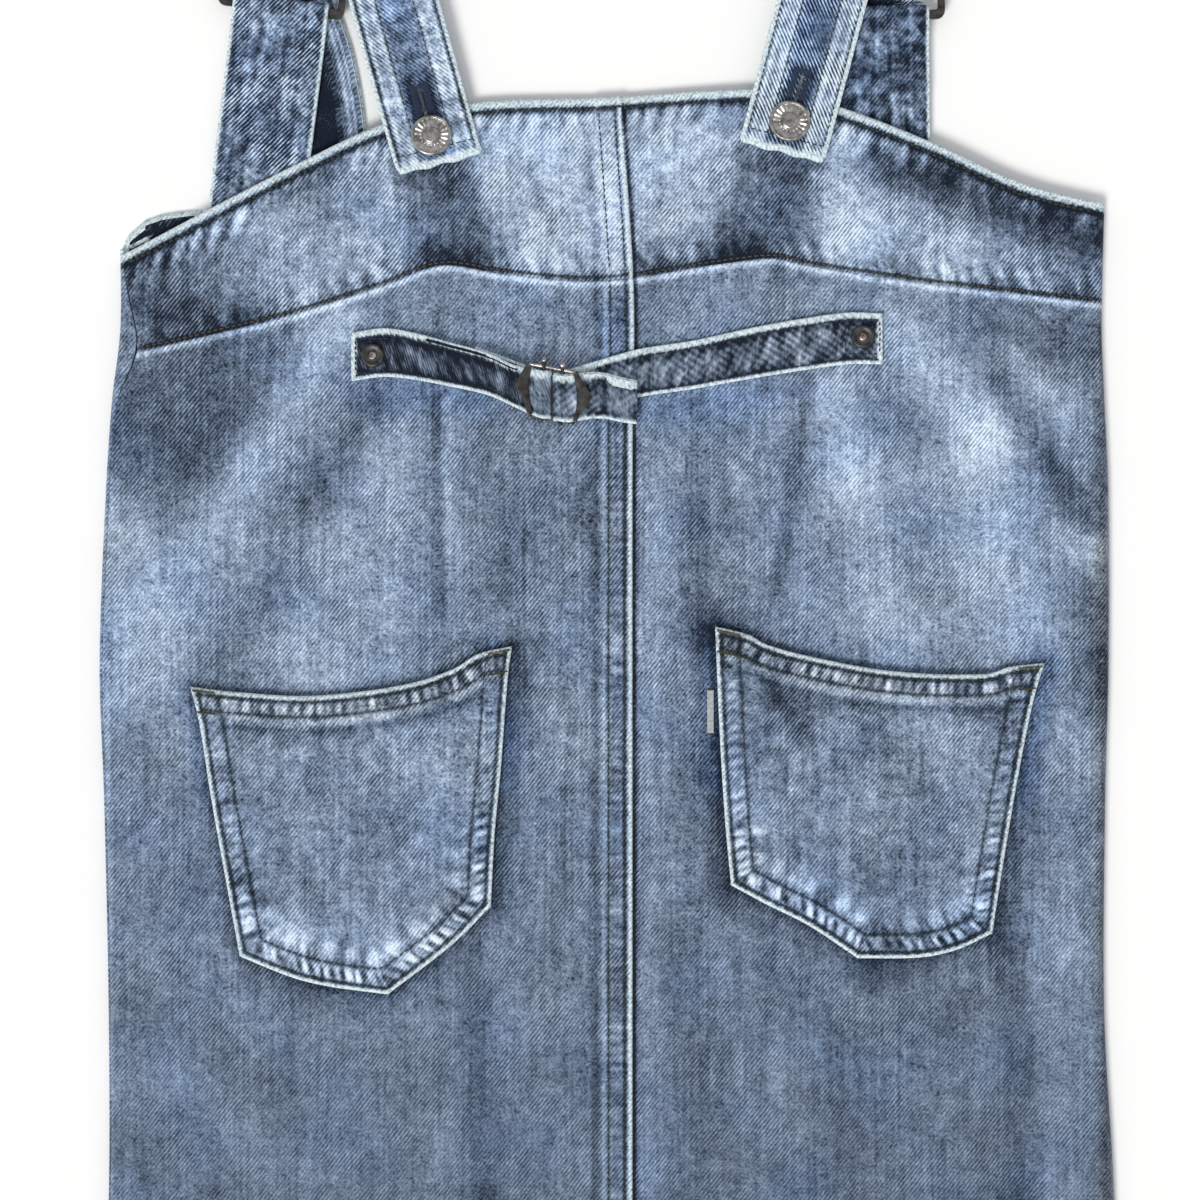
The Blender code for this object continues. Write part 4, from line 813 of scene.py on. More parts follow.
def shell(name, outer, thickness, materials, looks, inner_looks=None, slot=None):
    """A closed wall of cloth under a grid of outer points, with rounded rims. looks are values at each outer
    point: grain, the wash with its painted light and shade, edge, tint and seam. inner_looks are those that
    differ on the wrong side. A slot is the first and last row and column of an opening through the cloth."""
    rows, columns = outer.shape[:2]
    thick = np.broadcast_to(np.asarray(thickness, float), (rows, columns))[..., None] * MM
    inner = outer - grid_normals(outer) * thick
    index = np.arange(rows * columns).reshape(rows, columns)
    loop = round_of(index)
    inward = np.concatenate([index[1, :-1], index[:-1, -2], index[-2, :0:-1], index[:0:-1, 1]])
    flat_outer, flat_inner = outer.reshape(-1, 3), inner.reshape(-1, 3)
    away = flat_outer[loop] - flat_outer[inward]
    away /= np.maximum(np.linalg.norm(away, axis=1, keepdims=True), 1e-12)
    middle = (flat_outer[loop] + flat_inner[loop]) / 2 + away * thick.reshape(-1, 1)[loop] * ROUND_OUT
    count, rim = rows * columns, len(loop)
    wrong = count + rim  # from a point to the one under it on the wrong side
    cells = np.stack([index[:-1, :-1], index[1:, :-1], index[1:, 1:], index[:-1, 1:]], -1)
    keep = np.ones((rows - 1, columns - 1), bool)
    walls = np.zeros((0, 4), int)
    if slot:
        top, foot, left, right = slot
        keep[top:foot, left:right] = False
        here = round_of(index[top : foot + 1, left : right + 1])
        there = np.roll(here, -1)
        walls = np.stack([here, here + wrong, there + wrong, there], -1)
    cells = cells[keep]
    here = np.arange(count, wrong)
    there, loop_after = np.roll(here, -1), np.roll(loop, -1)
    upper_rim = np.stack([loop, loop_after, there, here], -1)
    lower_rim = np.stack([here, there, wrong + loop_after, wrong + loop], -1)
    faces = np.concatenate([cells, upper_rim, lower_rim, walls, cells[:, ::-1] + wrong])
    attributes = {}
    for key, values in looks.items():
        values = np.asarray(values, float)
        values = np.broadcast_to(values, (rows, columns) + values.shape[2:]) if values.ndim < 3 else values
        flat = values.reshape(count, *values.shape[2:])
        within = np.asarray((inner_looks or {}).get(key, values)).reshape(flat.shape)
        attributes[key] = np.concatenate([flat, flat[loop], within])
    points = np.concatenate([flat_outer, middle, flat_inner])
    return mesh_piece(name, points.tolist(), faces.tolist(), materials, len(faces) - len(cells), attributes)


def stands_for(node_name):
    """Hides the node that a piece replaces."""
    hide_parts(node_name)


def triple(first, second, third=0.0):
    """Three values at each point."""
    return np.stack(np.broadcast_arrays(first, second, third), -1)


def finish_cloth(node_name):
    """Hides the node that a cloth piece stands for."""
    stands_for(node_name)


# ---- panels

# Columns near a side seam
ROLL_STEPS = np.array([12, 10, 8.5, 7.2, 6.1, 5.2, 4.4, 3.6, 2.8, 2.1, 1.4, 0.7, 0])
# Columns near the centre seam
LEFT_FINE = [
    0, 0.5, 1.1, 1.9, 2.6, 3.3, 4.3, 5.4, 6.5, 7.6, 8.6, 9.3, 10.1, 10.9, 11.4, 11.9, 12.6, 13.6, 15, 16.6,
]
RIGHT_FINE = [0, 0.5, 1.2, 2.2, 3.6, 5.2]
UNWORN = 20.0  # the edge value, in mm off a worn edge, where nothing shows of it any more


def back_girths(side, down, fine, count):
    """Girths of a back panel's columns, from its middle edge to its side seam."""
    start = (band(down)[1] + GAP) if side > 0 else -band(down)[1]
    seam = seam_girth(side, down) - ROLL_GAP / 2
    share = (np.arange(count) + 1) / (count + 1)
    from_start = np.concatenate([np.ones(len(fine)), 1 - share, np.zeros(len(ROLL_STEPS))])
    offset = np.concatenate([fine, fine[-1] * (1 - share) - ROLL_STEPS[0] * share, -ROLL_STEPS])
    return side * (start * from_start + seam * (1 - from_start) + offset)


def spread(*spans):
    """Shares from 0 to 1: each span is its end and its number of steps."""
    shares, start = [np.zeros(1)], 0.0
    for end, count in spans:
        shares.append(start + (end - start) * (np.arange(count) + 1) / count)
        start = end
    return np.concatenate(shares)


def between(upper, lower, across, shares):
    """How far down points lie at shares of the way from one edge to another, with a gap at the yoke seam."""
    top = read(upper, across) + (GAP / 2 if upper is YOKE_SEAM else 0)
    bottom = read(lower, across) - (GAP / 2 if lower is YOKE_SEAM else 0)
    return top + (bottom - top) * shares


def back_grid(side, upper, lower, shares, fine, count):
    """Girth, down, across and height of a back panel's grid."""
    columns = len(fine) + count + len(ROLL_STEPS)
    shares = shares[:, None] * np.ones(columns)
    at = side * 110
    down = read(upper, at) * (1 - shares) + read(lower, at) * shares
    for _ in range(5):
        girth = back_girths(side, down, fine, count)
        across, _ = tube(girth, down)
        down = between(upper, lower, across, shares)
    girth = back_girths(side, down, fine, count)
    across, height = tube(girth, down)
    if side < 0:
        girth, down, across, height = (values[:, ::-1] for values in (girth, down, across, height))
    return girth, down, across, height


def seam_looks(across, down):
    """Where the shader finds each seam: along it, off it and its strength. A row of stitches is 4.5 mm off."""
    top, yoke, from_left, from_right = seams(across, down)
    on_yoke = yoke < 0
    far = np.full(across.shape, 60.0)
    inside = (from_left > 0) & (from_right > -GAP)
    to_row = np.minimum(np.abs(from_left - SEAM_ROWS[0]), np.abs(from_left - SEAM_ROWS[1]))
    choices = [
        (np.where(on_yoke, top, far), across * 1.05, 0.8),
        (np.where(on_yoke, 3.0 - yoke, 7.0 + yoke), across + 31, 0.6),
        (np.where(inside, 4.5 + to_row, far), down, np.where(on_yoke, 0.3, 0.5)),
        (np.where(inside, far, 9.0 + np.maximum(-from_left, -from_right)), down + 17, 0.3),
    ]
    best, where, strength = far, 0.0, 0.0
    for off, along, strong in choices:
        closer = off < best
        best, where = np.where(closer, off, best), np.where(closer, along, where)
        strength = np.where(closer, strong, strength)
    return triple(where, best, strength)


def seam_edges(across, down, steps):
    """The centre seam: pale beside its first row, light and dark steps between its rows where its relief steps,
    partly roped wear and partly painted light and shade, painted shade along its second row and beside its left
    edge, pale at its fold, and painted shade under it.
    """
    _, _, from_left, from_right = seams(across, down)
    inside = (from_left > 0.5) & (from_right > 0)
    wash_and_shade = 0.12 * ridge(from_left, -0.6, 1.2) - 0.13 * ridge(from_left, -4.4, 1.9)
    wash_and_shade -= 0.12 * ridge(from_left, SEAM_ROWS[1], 0.8)
    wash_and_shade += steps * inside * (0.34 * ladder(down) - 0.2) * ridge(from_left, 4.9, 2.9)
    fold, shade = 0.2 * ridge(from_right, 0.9, 0.9), 0.52 * ridge(from_right, -1.1, 1.1)
    return wash_and_shade + np.where(from_right > -GAP / 2, fold, -shade)


def yoke_wash_and_shade(across, down):
    top, yoke, from_left, from_right = seams(across, down)
    wash_and_shade = YOKE_BASE + marks_at(YOKE_WASH_AND_SHADE, across, down)
    inside = smoothstep(from_left, -0.6, 0.2) * (from_right > -GAP)
    # The band is paler and the top edge worn pale; painted shade lies in the top row's channel and in the
    # crease just above the yoke seam
    wash_and_shade += (0.84 - wash_and_shade) * 0.9 * inside + 0.05 * ridge(top, 2.2, 2.2) - 0.28 * ridge(top, 5.0, 1.5)
    wash_and_shade -= 0.09 * ridge(yoke, -3.0, 2.5) + 0.3 * ridge(yoke, -0.9, 1.0)
    # Puckers below the top row and above the yoke seam: partly roped wear, partly painted light on their bumps
    # and painted shade in their gaps
    wash_and_shade += 0.6 * (drawn_in(across, top, 1) - 0.42) * ridge(top, 10.0, 5.5) * (1 - inside)
    wash_and_shade += 0.40 * (drawn_in(across, -yoke, 3) - 0.40) * ridge(yoke, -6.5, 5.0) * (1 - inside)
    return wash_and_shade + seam_edges(across, down, 0.5)


def skirt_wash_and_shade(across, down):
    _, yoke, from_left, from_right = seams(across, down)
    wash_and_shade = read(SKIRT_BASE, down) + marks_at(SKIRT_WASH_AND_SHADE, across, down)
    inside = smoothstep(from_left, -0.6, 0.2) * (from_right > -GAP)
    wash_and_shade += (0.58 - wash_and_shade) * 0.6 * inside + 0.3 * ridge(yoke, 1.4, 1.5)
    # Puckers below the yoke seam: partly roped wear, partly painted light on their bumps and painted shade in
    # their gaps
    wash_and_shade += 0.15 * (drawn_in(across, yoke, 4) - 0.38) * ridge(yoke, 5.5, 4.5) * (1 - inside)
    # The shade beside the pockets
    for pocket in (LEFT_POCKET, RIGHT_POCKET):
        corners = np.array(pocket["left"] + pocket["right"])
        close = (np.abs(across - corners[:, 0].mean()) < 95) & (np.abs(down - 318) < 95)
        outline = np.concatenate([pocket_rim(pocket), along_edge(pocket["top"], np.linspace(1, 0, 30))])
        off, _ = nearest(across[close], down[close], outline)
        wash_and_shade[close] -= 0.15 * ridge(off, 0.8, 2.2)
    return wash_and_shade + seam_edges(across, down, 1.0)


def build_back():
    """The four panels of the back. Returns the two yokes and the two skirts."""
    pieces = {"yoke": [], "skirt": []}
    skirt_rows = spread((0.018, 15), (0.5, 200), (0.972, 76), (1, 8))
    for side, name, fine, counts in ((-1, "left", LEFT_FINE, (100, 88)), (1, "right", RIGHT_FINE, (104, 92))):
        for part, upper, lower, rows, count, wash_and_shade, cloth in (
            ("yoke", BACK_TOP, YOKE_SEAM, spread((1, 58)), counts[0], yoke_wash_and_shade, yoke_denim),
            ("skirt", YOKE_SEAM, HEM_LINE, skirt_rows, counts[1], skirt_wash_and_shade, denim),
        ):
            girth, down, across, height = back_grid(side, upper, lower, rows, fine, count)
            _, _, from_left, from_right = seams(across, down)
            if part == "yoke":
                worn = 0.45 * np.abs(down - read(BACK_TOP, across))
            else:
                worn = np.abs(read(HEM_LINE, across) - down)
            thickness = np.full(down.shape, DENIM)
            if side < 0:
                worn = np.minimum(worn, np.maximum(0.0, from_right) + 0.2)
                thickness += SEAM_RISE * (from_left > -0.5)
            looks = {
                "grain": triple(girth, down),
                "wash_and_shade": wash_and_shade(across, down),
                "edge": np.minimum(worn, UNWORN),
                "tint": marks_at(TINTS, across, down),
                "seam": seam_looks(across, down),
            }
            node_name = "back_" + part + "_" + name
            outer = place(across, down, height)
            piece = shell(node_name + "_cloth", outer, thickness, [cloth, wrong_side], looks)
            finish_cloth(node_name)
            pieces[part].append(piece)
    return pieces.values()


def faced_edge(across, down, looks):
    """The front's top edge from inside: its fold, worn white, the slit of the turned-in side seam with painted
    shade in it, and the dark facing, painted darker still for the shade inside the opening."""
    path = np.arange(-216, 219, 1.5)
    from_top, along = nearest(across, down, np.stack([path, read(FRONT_TOP, path)], -1))
    corner = 1 - smoothstep(across, -204, -197)
    thickness = DENIM + 1.15 * (1 - smoothstep(from_top, 9.5, 11)) - 0.5 * rounded(from_top, 1.2)
    thickness += corner * (0.5 * ridge(from_top, 6.4, 1.4) - 0.9 * ridge(from_top, 4.2, 0.7))
    thickness -= (1 - corner) * 0.4 * ridge(from_top, 4.6, 0.9)
    ropes = 0.3 * (puckers(along, 5.2, 1) - 0.5) * ridge(from_top, 8.5, 2.6)
    folds = np.minimum(from_top * 0.4, np.abs(from_top - 6.4) * 0.65 + (1 - corner) * 9)
    looks["edge"] = np.minimum(from_top * 0.6, UNWORN)
    looks["seam"] = triple(along, from_top, 0.9)
    # The wrong side: the facing's dark dye painted darker still as shade inside the opening, and painted shade
    # in the slit
    return thickness, {
        "wash_and_shade": 0.13 + ropes - 0.1 * ridge(from_top, 4.2, 0.9),
        "edge": np.where(np.abs(from_top - 4.2) < 0.7, UNWORN, np.minimum(folds, UNWORN)),
        "tint": np.full(down.shape, -0.5),
        "seam": triple(along, 4.6 + np.abs(from_top - 4.6), 0.8),
    }


def build_front():
    """The front lies flat under the back, and its sides roll up to the side seams."""
    roll = np.linspace(0, 1, 13)
    flat = np.linspace(0, 1, 62)[1:-1]
    edge = len(roll)
    skirt_rows = spread((0.05, 8), (0.5, 80), (0.972, 50), (1, 5))
    for name, upper, lower, rows, guess in (
        ("front_yoke", FRONT_TOP, YOKE_SEAM, spread((0.25, 8), (1, 12)), (45, 35)),
        ("front_skirt", YOKE_SEAM, HEM_LINE, skirt_rows, (50, BODY_LENGTH - 50)),
    ):
        shares = rows[:, None] * np.ones(edge * 2 + len(flat))
        down = guess[0] + guess[1] * shares
        for _ in range(6):
            sides = []
            for side, columns in ((1, down[:, :edge]), (-1, down[:, : -edge - 1 : -1])):
                start = seam_girth(side, columns) + ROLL_GAP / 2
                end = flat_edge(side, columns) + math.pi * SIDE_FOLD + 1.0
                sides.append(tube(side * (start + (end - start) * roll), columns))
            right, left = sides[0], [values[:, ::-1] for values in sides[1]]
            inner_right, inner_left = (flat_edge(side, down[:, edge:-edge]) - 1.0 for side in (1, -1))
            across_flat = inner_right - (inner_right + inner_left) * flat
            across = np.concatenate([right[0], across_flat, left[0]], 1)
            height = np.concatenate([right[1], 0 * across_flat, left[1]], 1)
            down = between(upper, lower, across, shares)
        looks = {
            "grain": triple(across, down),
            "wash_and_shade": read(SKIRT_BASE, down) + 0.03 * wobble(across, 60, 3) + 0.03 * wobble(down, 140, 1) + 0.02,
            "edge": UNWORN,
            "tint": 0.0,
            "seam": triple(across, 60.0),
        }
        outer = place(across, down, height)
        if name == "front_yoke":
            thickness, inner_looks = faced_edge(across, down, looks)
            piece = shell(name + "_cloth", outer, thickness, [denim, denim], looks, inner_looks)
        else:
            piece = shell(name + "_cloth", outer, DENIM, [denim, wrong_side], looks)
        finish_cloth(name)


# ---- pockets


def along_edge(edge, share, corner=None):
    """Points at shares of an edge's length. A corner splits it in two, each with its own smooth curve."""
    if corner is not None:
        at = edge.index(corner)
        first = along_edge(edge[: at + 1], np.clip(share * 2, 0, 1))
        second = along_edge(edge[at:], np.clip(share * 2 - 1, 0, 1))
        return np.where((share <= 0.5)[:, None], first, second)
    lengths = reached(np.array(edge, float))
    keyed = np.column_stack([lengths, edge])
    return np.stack([read(keyed, share * lengths[-1], k) for k in (1, 2)], -1)


def pocket_grid(pocket, u, v):
    """Across and down of a pocket's points between its four edges: shares u across and v down."""
    top, bottom = along_edge(pocket["top"], u)[None], along_edge(pocket["bottom"], u, pocket["tip"])[None]
    left, right = along_edge(pocket["left"], v)[:, None], along_edge(pocket["right"], v)[:, None]
    u, v = u[None, :, None], v[:, None, None]
    points = (1 - v) * top + v * bottom + (1 - u) * left + u * right
    for edge, down in (("top", 1 - v), ("bottom", v)):
        points -= down * ((1 - u) * np.array(pocket[edge][0]) + u * np.array(pocket[edge][-1]))
    return points


def pocket_rim(pocket):
    """A pocket's sewn edge, down its left side, along its bottom and up its right side."""
    share = np.linspace(0, 1, 41)
    return np.concatenate([
        along_edge(pocket["left"], share)[:-1],
        along_edge(pocket["bottom"], share, pocket["tip"])[:-1],
        along_edge(pocket["right"], share[::-1]),
    ])


POCKET_ROWS = (2.6, 10.4)
HEM_ROWS = (2.7, 9.2)


def build_pocket(name, pocket, base, marks):
    u, v = np.linspace(0, 1, 157), np.linspace(0, 1, 139)
    u, v = (share - 0.012 * np.sin(2 * np.pi * share) for share in (u, v))
    grid = pocket_grid(pocket, u, v)
    across, down = grid[..., 0], grid[..., 1]
    v = v[:, None]
    to_top, along_top = nearest(across, down, along_edge(pocket["top"], np.linspace(0, 1, 41)))
    to_rim, along_rim = nearest(across, down, pocket_rim(pocket))
    turned = 0.8 * (1 - smoothstep(to_rim, 10.2, 11.6))
    hem = 0.9 * (1 - smoothstep(to_top, POCKET_HEM - 0.6, POCKET_HEM + 0.8))
    thickness = 1.0 + np.maximum(turned, hem) + 0.25 * np.minimum(turned, hem)
    low = 0.45 + 0.75 * smoothstep(v, 0.45, 0.9)
    near_foot = low * smoothstep(v, 0.55, 0.8) * (puckers(along_rim, 11.0, 4) - 0.4) * ridge(to_rim, 15.5, 4.5)
    side_steps = low * (puckers(along_rim + 0.4 * to_rim, 5.0, 1) - 0.45)
    hem_steps = puckers(along_top + 0.15 * to_top, 4.6, 3) - 0.45

    # The cloth stands off the skirt at its mouth, dips at its rows and rises where they draw it in
    height = back_top(across, down) + GAP + 1.1 * np.sin(np.pi * u) ** 0.7 * (1 - v) ** 0.6 + 0.15 + thickness
    for row, hem_row in zip(POCKET_ROWS, HEM_ROWS):
        height -= 0.32 * ridge(to_rim, row, 0.8) + 0.32 * ridge(to_top, hem_row, 0.8) * (to_rim > 1.5)
    height -= 0.45 * rounded(np.minimum(to_rim, to_top), 0.8)
    height += 0.8 * side_steps * ridge(to_rim, 6.4, 2.9)
    height += 0.55 * hem_steps * ridge(to_top, 5.8, 2.6) * (to_rim > 3)
    height += 0.35 * near_foot + 0.25 * wobble(across + 0.5 * down, 43, 2) * wobble(down - 0.4 * across, 37, 1)

    # Wash with painted light and shade: the puckers near the foot, beside the rim and in the hem follow the
    # relief's bumps, partly roped wear and partly painted light on them and painted shade between; painted
    # shade lies below the hem's step and below the turned edge's step
    wash_and_shade = base - 0.035 + marks_at(marks, across, down) + 0.34 * near_foot
    wash_and_shade += 0.09 * ridge(to_top, 1.0, 1.2) + 0.05 * ridge(to_top, POCKET_HEM - 1, 1.2)
    wash_and_shade -= 0.08 * ridge(to_top, POCKET_HEM + 1.4, 1.2)
    wash_and_shade -= 0.1 * ridge(to_rim, 12.0, 1.2) * smoothstep(v, 0.6, 0.9)
    wash_and_shade += 0.03 * ridge(to_rim, 6.0, 3.0) + 0.15 * ridge(to_top, 11.4, 1.6) * (to_rim > 4)
    wash_and_shade += 0.72 * side_steps * ridge(to_rim, 6.3, 2.6) * (to_top > 11)
    wash_and_shade += (0.06 + 0.62 * hem_steps) * ridge(to_top, 5.8, 2.5) * (to_rim > 3)

    row_off = np.min([np.abs(to_rim - row) for row in POCKET_ROWS], axis=0)
    hem_off = np.min([np.abs(to_top - row) for row in HEM_ROWS], axis=0)
    in_hem = hem_off < row_off
    along = np.where(in_hem, along_top + 200, along_rim)
    strength = np.where(in_hem, 0.6 * (to_top < 11), 0.45 + 0.3 * smoothstep(v, 0.5, 0.9))
    to_end = np.min([np.hypot(across - a, down - d) for a, d in (pocket["top"][0], pocket["top"][-1])], axis=0)
    looks = {
        "grain": triple(across + 300, down),
        "wash_and_shade": wash_and_shade,
        "edge": np.min([to_rim * 0.95, to_top * 0.8 + 0.1, to_end * 0.45, np.full(down.shape, UNWORN)], axis=0),
        "tint": 0.2 * marks_at(TINTS, across, down) - 0.45 * (1 - smoothstep(to_top, 11, 14)),
        "seam": triple(along, 4.5 + np.minimum(row_off, hem_off), strength),
    }
    piece = shell(name + "_cloth", place(across, down, height), thickness, [pocket_denim, wrong_side], looks)
    finish_cloth(name)
    return piece


def build_pocket_tab():
    """A plain woven tape, folded once, with its weft ribs showing."""
    (low, high), (top, bottom), thick = POCKET_TAB["across"], POCKET_TAB["down"], POCKET_TAB["thick"]
    across, down = np.meshgrid(np.linspace(low, high, 16), np.linspace(top, bottom, 70))
    inside = np.min([across - low, high - across, down - top, bottom - down], axis=0)
    height = back_top(across, down) + GAP + thick - 0.35 * rounded(inside, 0.5) + 0.08 * wobble(down, 3, 2)
    looks = {"grain": triple(across, down)}
    piece = shell("woven_tab", place(across, down, height), thick, [tape, tape], looks)
    stands_for("pocket_tab")


# ---- straps, tabs and cinch


def on_back(across, down):
    """Height that a strap rests on: the back where there is some, else nothing."""
    edge = read(BACK_TOP, across)
    over = (down > edge - 14) & (np.abs(across) < 205)
    return np.where(over, back_top(across, np.maximum(down, edge)), -10.0)


def route(table, columns, finer):
    """Stations along a table whose last column is the number of steps to the next row.
    The plan is a smooth curve, and the height eases from row to row."""
    lengths = [0.0]
    for here, there in zip(table, table[1:]):
        lengths.append(lengths[-1] + max(1.0, math.hypot(there[0] - here[0], there[1] - here[1])))
    keyed = [(length, *row) for length, row in zip(lengths, table)]
    stations = []
    for i, row in enumerate(table):
        last = i + 1 == len(table)
        steps = 1 if last else row[-1] * finer
        for step in range(steps):
            reach = lengths[i] + step / steps * (0 if last else lengths[i + 1] - lengths[i])
            values = [float(read(keyed, reach, column + 1)) for column in range(columns)]
            if not last:
                values[2] = row[2] + (table[i + 1][2] - row[2]) * float(smoothstep(step / steps, 0, 1))
            stations.append(values)
    return stations


def ribbon(stations, asides, resting=0):
    """Middle surface of a strap along stations of across, down, height, lean and width, and how far aside of
    its middle each point lies. asides are shares of the width, from -0.5 to 0.5. Its first rows, as many as
    resting says, lie on the back."""
    table = np.array([row[:5] for row in stations], float)
    aside = table[:, 4:5] * asides
    a = table[:, 0:1] + aside * np.cos(table[:, 3:4])
    d = table[:, 1:2] - aside * np.sin(table[:, 3:4])
    lift = np.repeat(table[:, 2:3], len(asides), 1)
    if resting:
        lift[:resting] = np.maximum(lift[:resting], on_back(a[:resting], d[:resting]) + GAP + STRAP_CLOTH / 2)
    return place(a, d, lift), aside


def lengths_along(points):
    """How far along its middle column each row of a grid lies, in millimetres."""
    return reached(points[:, points.shape[1] // 2] / MM)


def over_middle(middle, height):
    """Points a height over a middle surface."""
    return middle + grid_normals(middle) * height[..., None] * MM


def finish_strap(node_name):
    """Hides the node that a strap stands for."""
    stands_for(node_name)


def strap_stations(table):
    rows = [(a, d, h, math.radians(lean), STRAP_WIDTH, steps) for a, d, h, lean, steps in table]
    back_leg = route(rows[: STRAP_FOLD_ROW + 1], 5, 4)
    front_leg = route(rows[STRAP_FOLD_ROW + 1 :], 5, 3)
    start, end = rows[STRAP_FOLD_ROW], rows[STRAP_FOLD_ROW + 1]
    radius = (start[2] - end[2]) / 2
    fold = []
    for step in range(1, 16):
        share = step / 16
        mix = [start[k] + (end[k] - start[k]) * share for k in range(5)]
        mix[1] = start[1] - radius * math.sin(math.pi * share)
        mix[2] = end[2] + radius * (1 + math.cos(math.pi * share))
        fold.append(mix)
    return back_leg + fold + front_leg, len(back_leg)


STRAP_ROWS = (8.0, 17.0)
HALF_STRAP = STRAP_WIDTH / 2
# Columns of a shoulder strap, from its middle outward
STRAP_COLUMNS = [
    0.7, 1.6, 2.9, 3.9, 5.0, 6.0, 7.0, 7.5, 8.0, 8.5, 9.2, 10.6, 12.2, 13.8, 15.2, 16.1, 16.6, 17.0, 17.4, 18.0,
    18.6, 19.0, HALF_STRAP,
]
STRAP_OFFSETS = np.array(STRAP_COLUMNS[::-1] + [-offset for offset in STRAP_COLUMNS])


def ridged(along, aside):
    """Relief of a strap of two layers, seamed in four rows: channels, roping between them and round edges."""
    off = np.abs(aside)
    relief = -0.5 * rounded(HALF_STRAP - off, 1.0) - 0.1
    for row in STRAP_ROWS:
        relief -= 0.34 * ridge(off, row, 0.7)
    buttoned = 0.4 + 0.6 * (1 - smoothstep(along, 30, 60))
    relief += 0.4 * (puckers(along + 0.5 * off, 6.3, 6) - 0.4) * ridge(off, 14.0, 2.6) * buttoned
    relief += 0.15 * wobble(along, 6.3, 1 + np.sign(aside)) * ridge(off, 17.4, 2.4)
    return relief + 0.12 * wobble(along, 9, 4) * ridge(off, 8, 3)


def strap_looks(along, aside, base, seed):
    off = np.abs(aside)
    row_off = np.min([np.abs(off - row) for row in STRAP_ROWS], axis=0)
    middle = 1 - smoothstep(off, 6.4, 7.8)
    wash_and_shade = base - 0.02 + 0.13 * (1 - middle) - middle * (0.09 + 0.08 * wobble(along, 13, seed))
    wash_and_shade += 0.24 * ridge(off, 9.8, 0.9) + 0.22 * ridge(off, 15.2, 0.9) - 0.06 * ridge(off, 12.6, 1.0)
    wash_and_shade += 0.04 * wobble(along, 34, seed) + 0.04 * wobble(along, 11, seed + 2)
    if seed == 1:
        wash_and_shade += 0.03 * smoothstep(along, 34, 46) * (1 - smoothstep(along, 200, 260))
    # The buttonhole's strip has kept its dye, and the turned end has lost it
    hole = smoothstep(along, 5, 8) * (1 - smoothstep(along, 34, 40))
    wash_and_shade += 0.16 * (1 - smoothstep(along, 2.5, 5.5)) * (off > 4) - 0.27 * hole * (1 - smoothstep(off, 5.2, 6.8))
    edge = np.minimum((HALF_STRAP - off) * (0.9, 0.65)[seed - 1], along * 0.6)
    return {
        "grain": triple(aside + 40 * seed, along),
        "wash_and_shade": wash_and_shade,
        "edge": np.minimum(edge, UNWORN),
        "tint": 0.35 * middle,
        "seam": triple(along, 4.6 + row_off, 0.4 + 0.15 * (off > 14)),
    }


def build_strap(side, table, base, seed):
    stations, back_leg = strap_stations(table)
    middle, aside = ribbon(stations, STRAP_OFFSETS / STRAP_WIDTH, resting=back_leg)
    along = lengths_along(middle)
    # The slot, and its round eye for the shank
    button, start = BUTTONS[side], table[0]
    eye = math.hypot(button[0] - start[0], button[1] - start[1])
    lean = math.radians(start[3])
    eye_half = np.sqrt(np.maximum(0.0, (SHANK_RADIUS + 0.45) ** 2 - (along - eye) ** 2))
    push = np.maximum(BUTTONHOLE_SLOT / 2, eye_half)
    ends = eye - SHANK_RADIUS - 0.4, eye + BUTTONHOLE_LENGTH - 3
    first, last = (int(row) for row in np.searchsorted(along, ends))
    slot_column = len(STRAP_COLUMNS) - 1
    for column in range(slot_column - 2, slot_column + 4):
        off = np.abs(aside[:, column])
        want = np.maximum(off, push + 0.8 * (abs(STRAP_OFFSETS[column]) - 0.7))
        delta = (want - off) * np.sign(aside[0, column]) * (np.abs(along - eye) < 4)
        middle[:, column, 0] += delta * math.cos(lean) * MM
        middle[:, column, 1] += delta * math.sin(lean) * MM
        aside[:, column] += delta
    along_all = along[:, None] + 0 * aside
    # The turned end, with round corners
    corner = 1.8 * np.clip((np.abs(aside) - HALF_STRAP + 4) / 4, 0, 1) ** 2
    middle[..., 1] += np.clip(1 - along_all / 4.0, 0, 1) * (corner + 0.5 * np.sin(0.5 * aside + seed)) * MM
    relief = ridged(along_all, aside)
    outer = over_middle(middle, STRAP_CLOTH / 2 + relief)
    looks = strap_looks(along_all, aside, base, seed)
    # The tail behind the front tab: in the shade of it, with the fold of its border lit
    tail = smoothstep(along_all, 290, 300)
    from_right = HALF_STRAP - aside
    fold, shade = 0.36 * ridge(from_right, 7.4, 0.9), 0.24 * smoothstep(from_right, 7.6, 9.0)
    looks["wash_and_shade"] += tail * (fold - shade - 0.12)
    looks["seam"][..., 2] *= 1 - tail
    name = "strap_back_" + side
    slot = (first, last, slot_column, slot_column + 1)
    piece = shell(name + "_cloth", outer, STRAP_CLOTH + relief, [strap_denim[side]] * 2, looks, slot=slot)
    finish_strap(name)
    return piece, outer, along


def edged(margin, inner):
    """Columns of a flat strap as shares of its width: close ones at its edges, even ones between."""
    return np.array([-share for share in margin] + list(inner) + list(margin[::-1]))


TAB_ASIDES = edged([0.5, 0.49, 0.47, 0.44, 0.4], np.linspace(-0.36, 0.36, 30))
CINCH_ASIDES = edged([0.5, 0.485, 0.46, 0.43, 0.4, 0.37], np.linspace(-0.33, 0.33, 17))


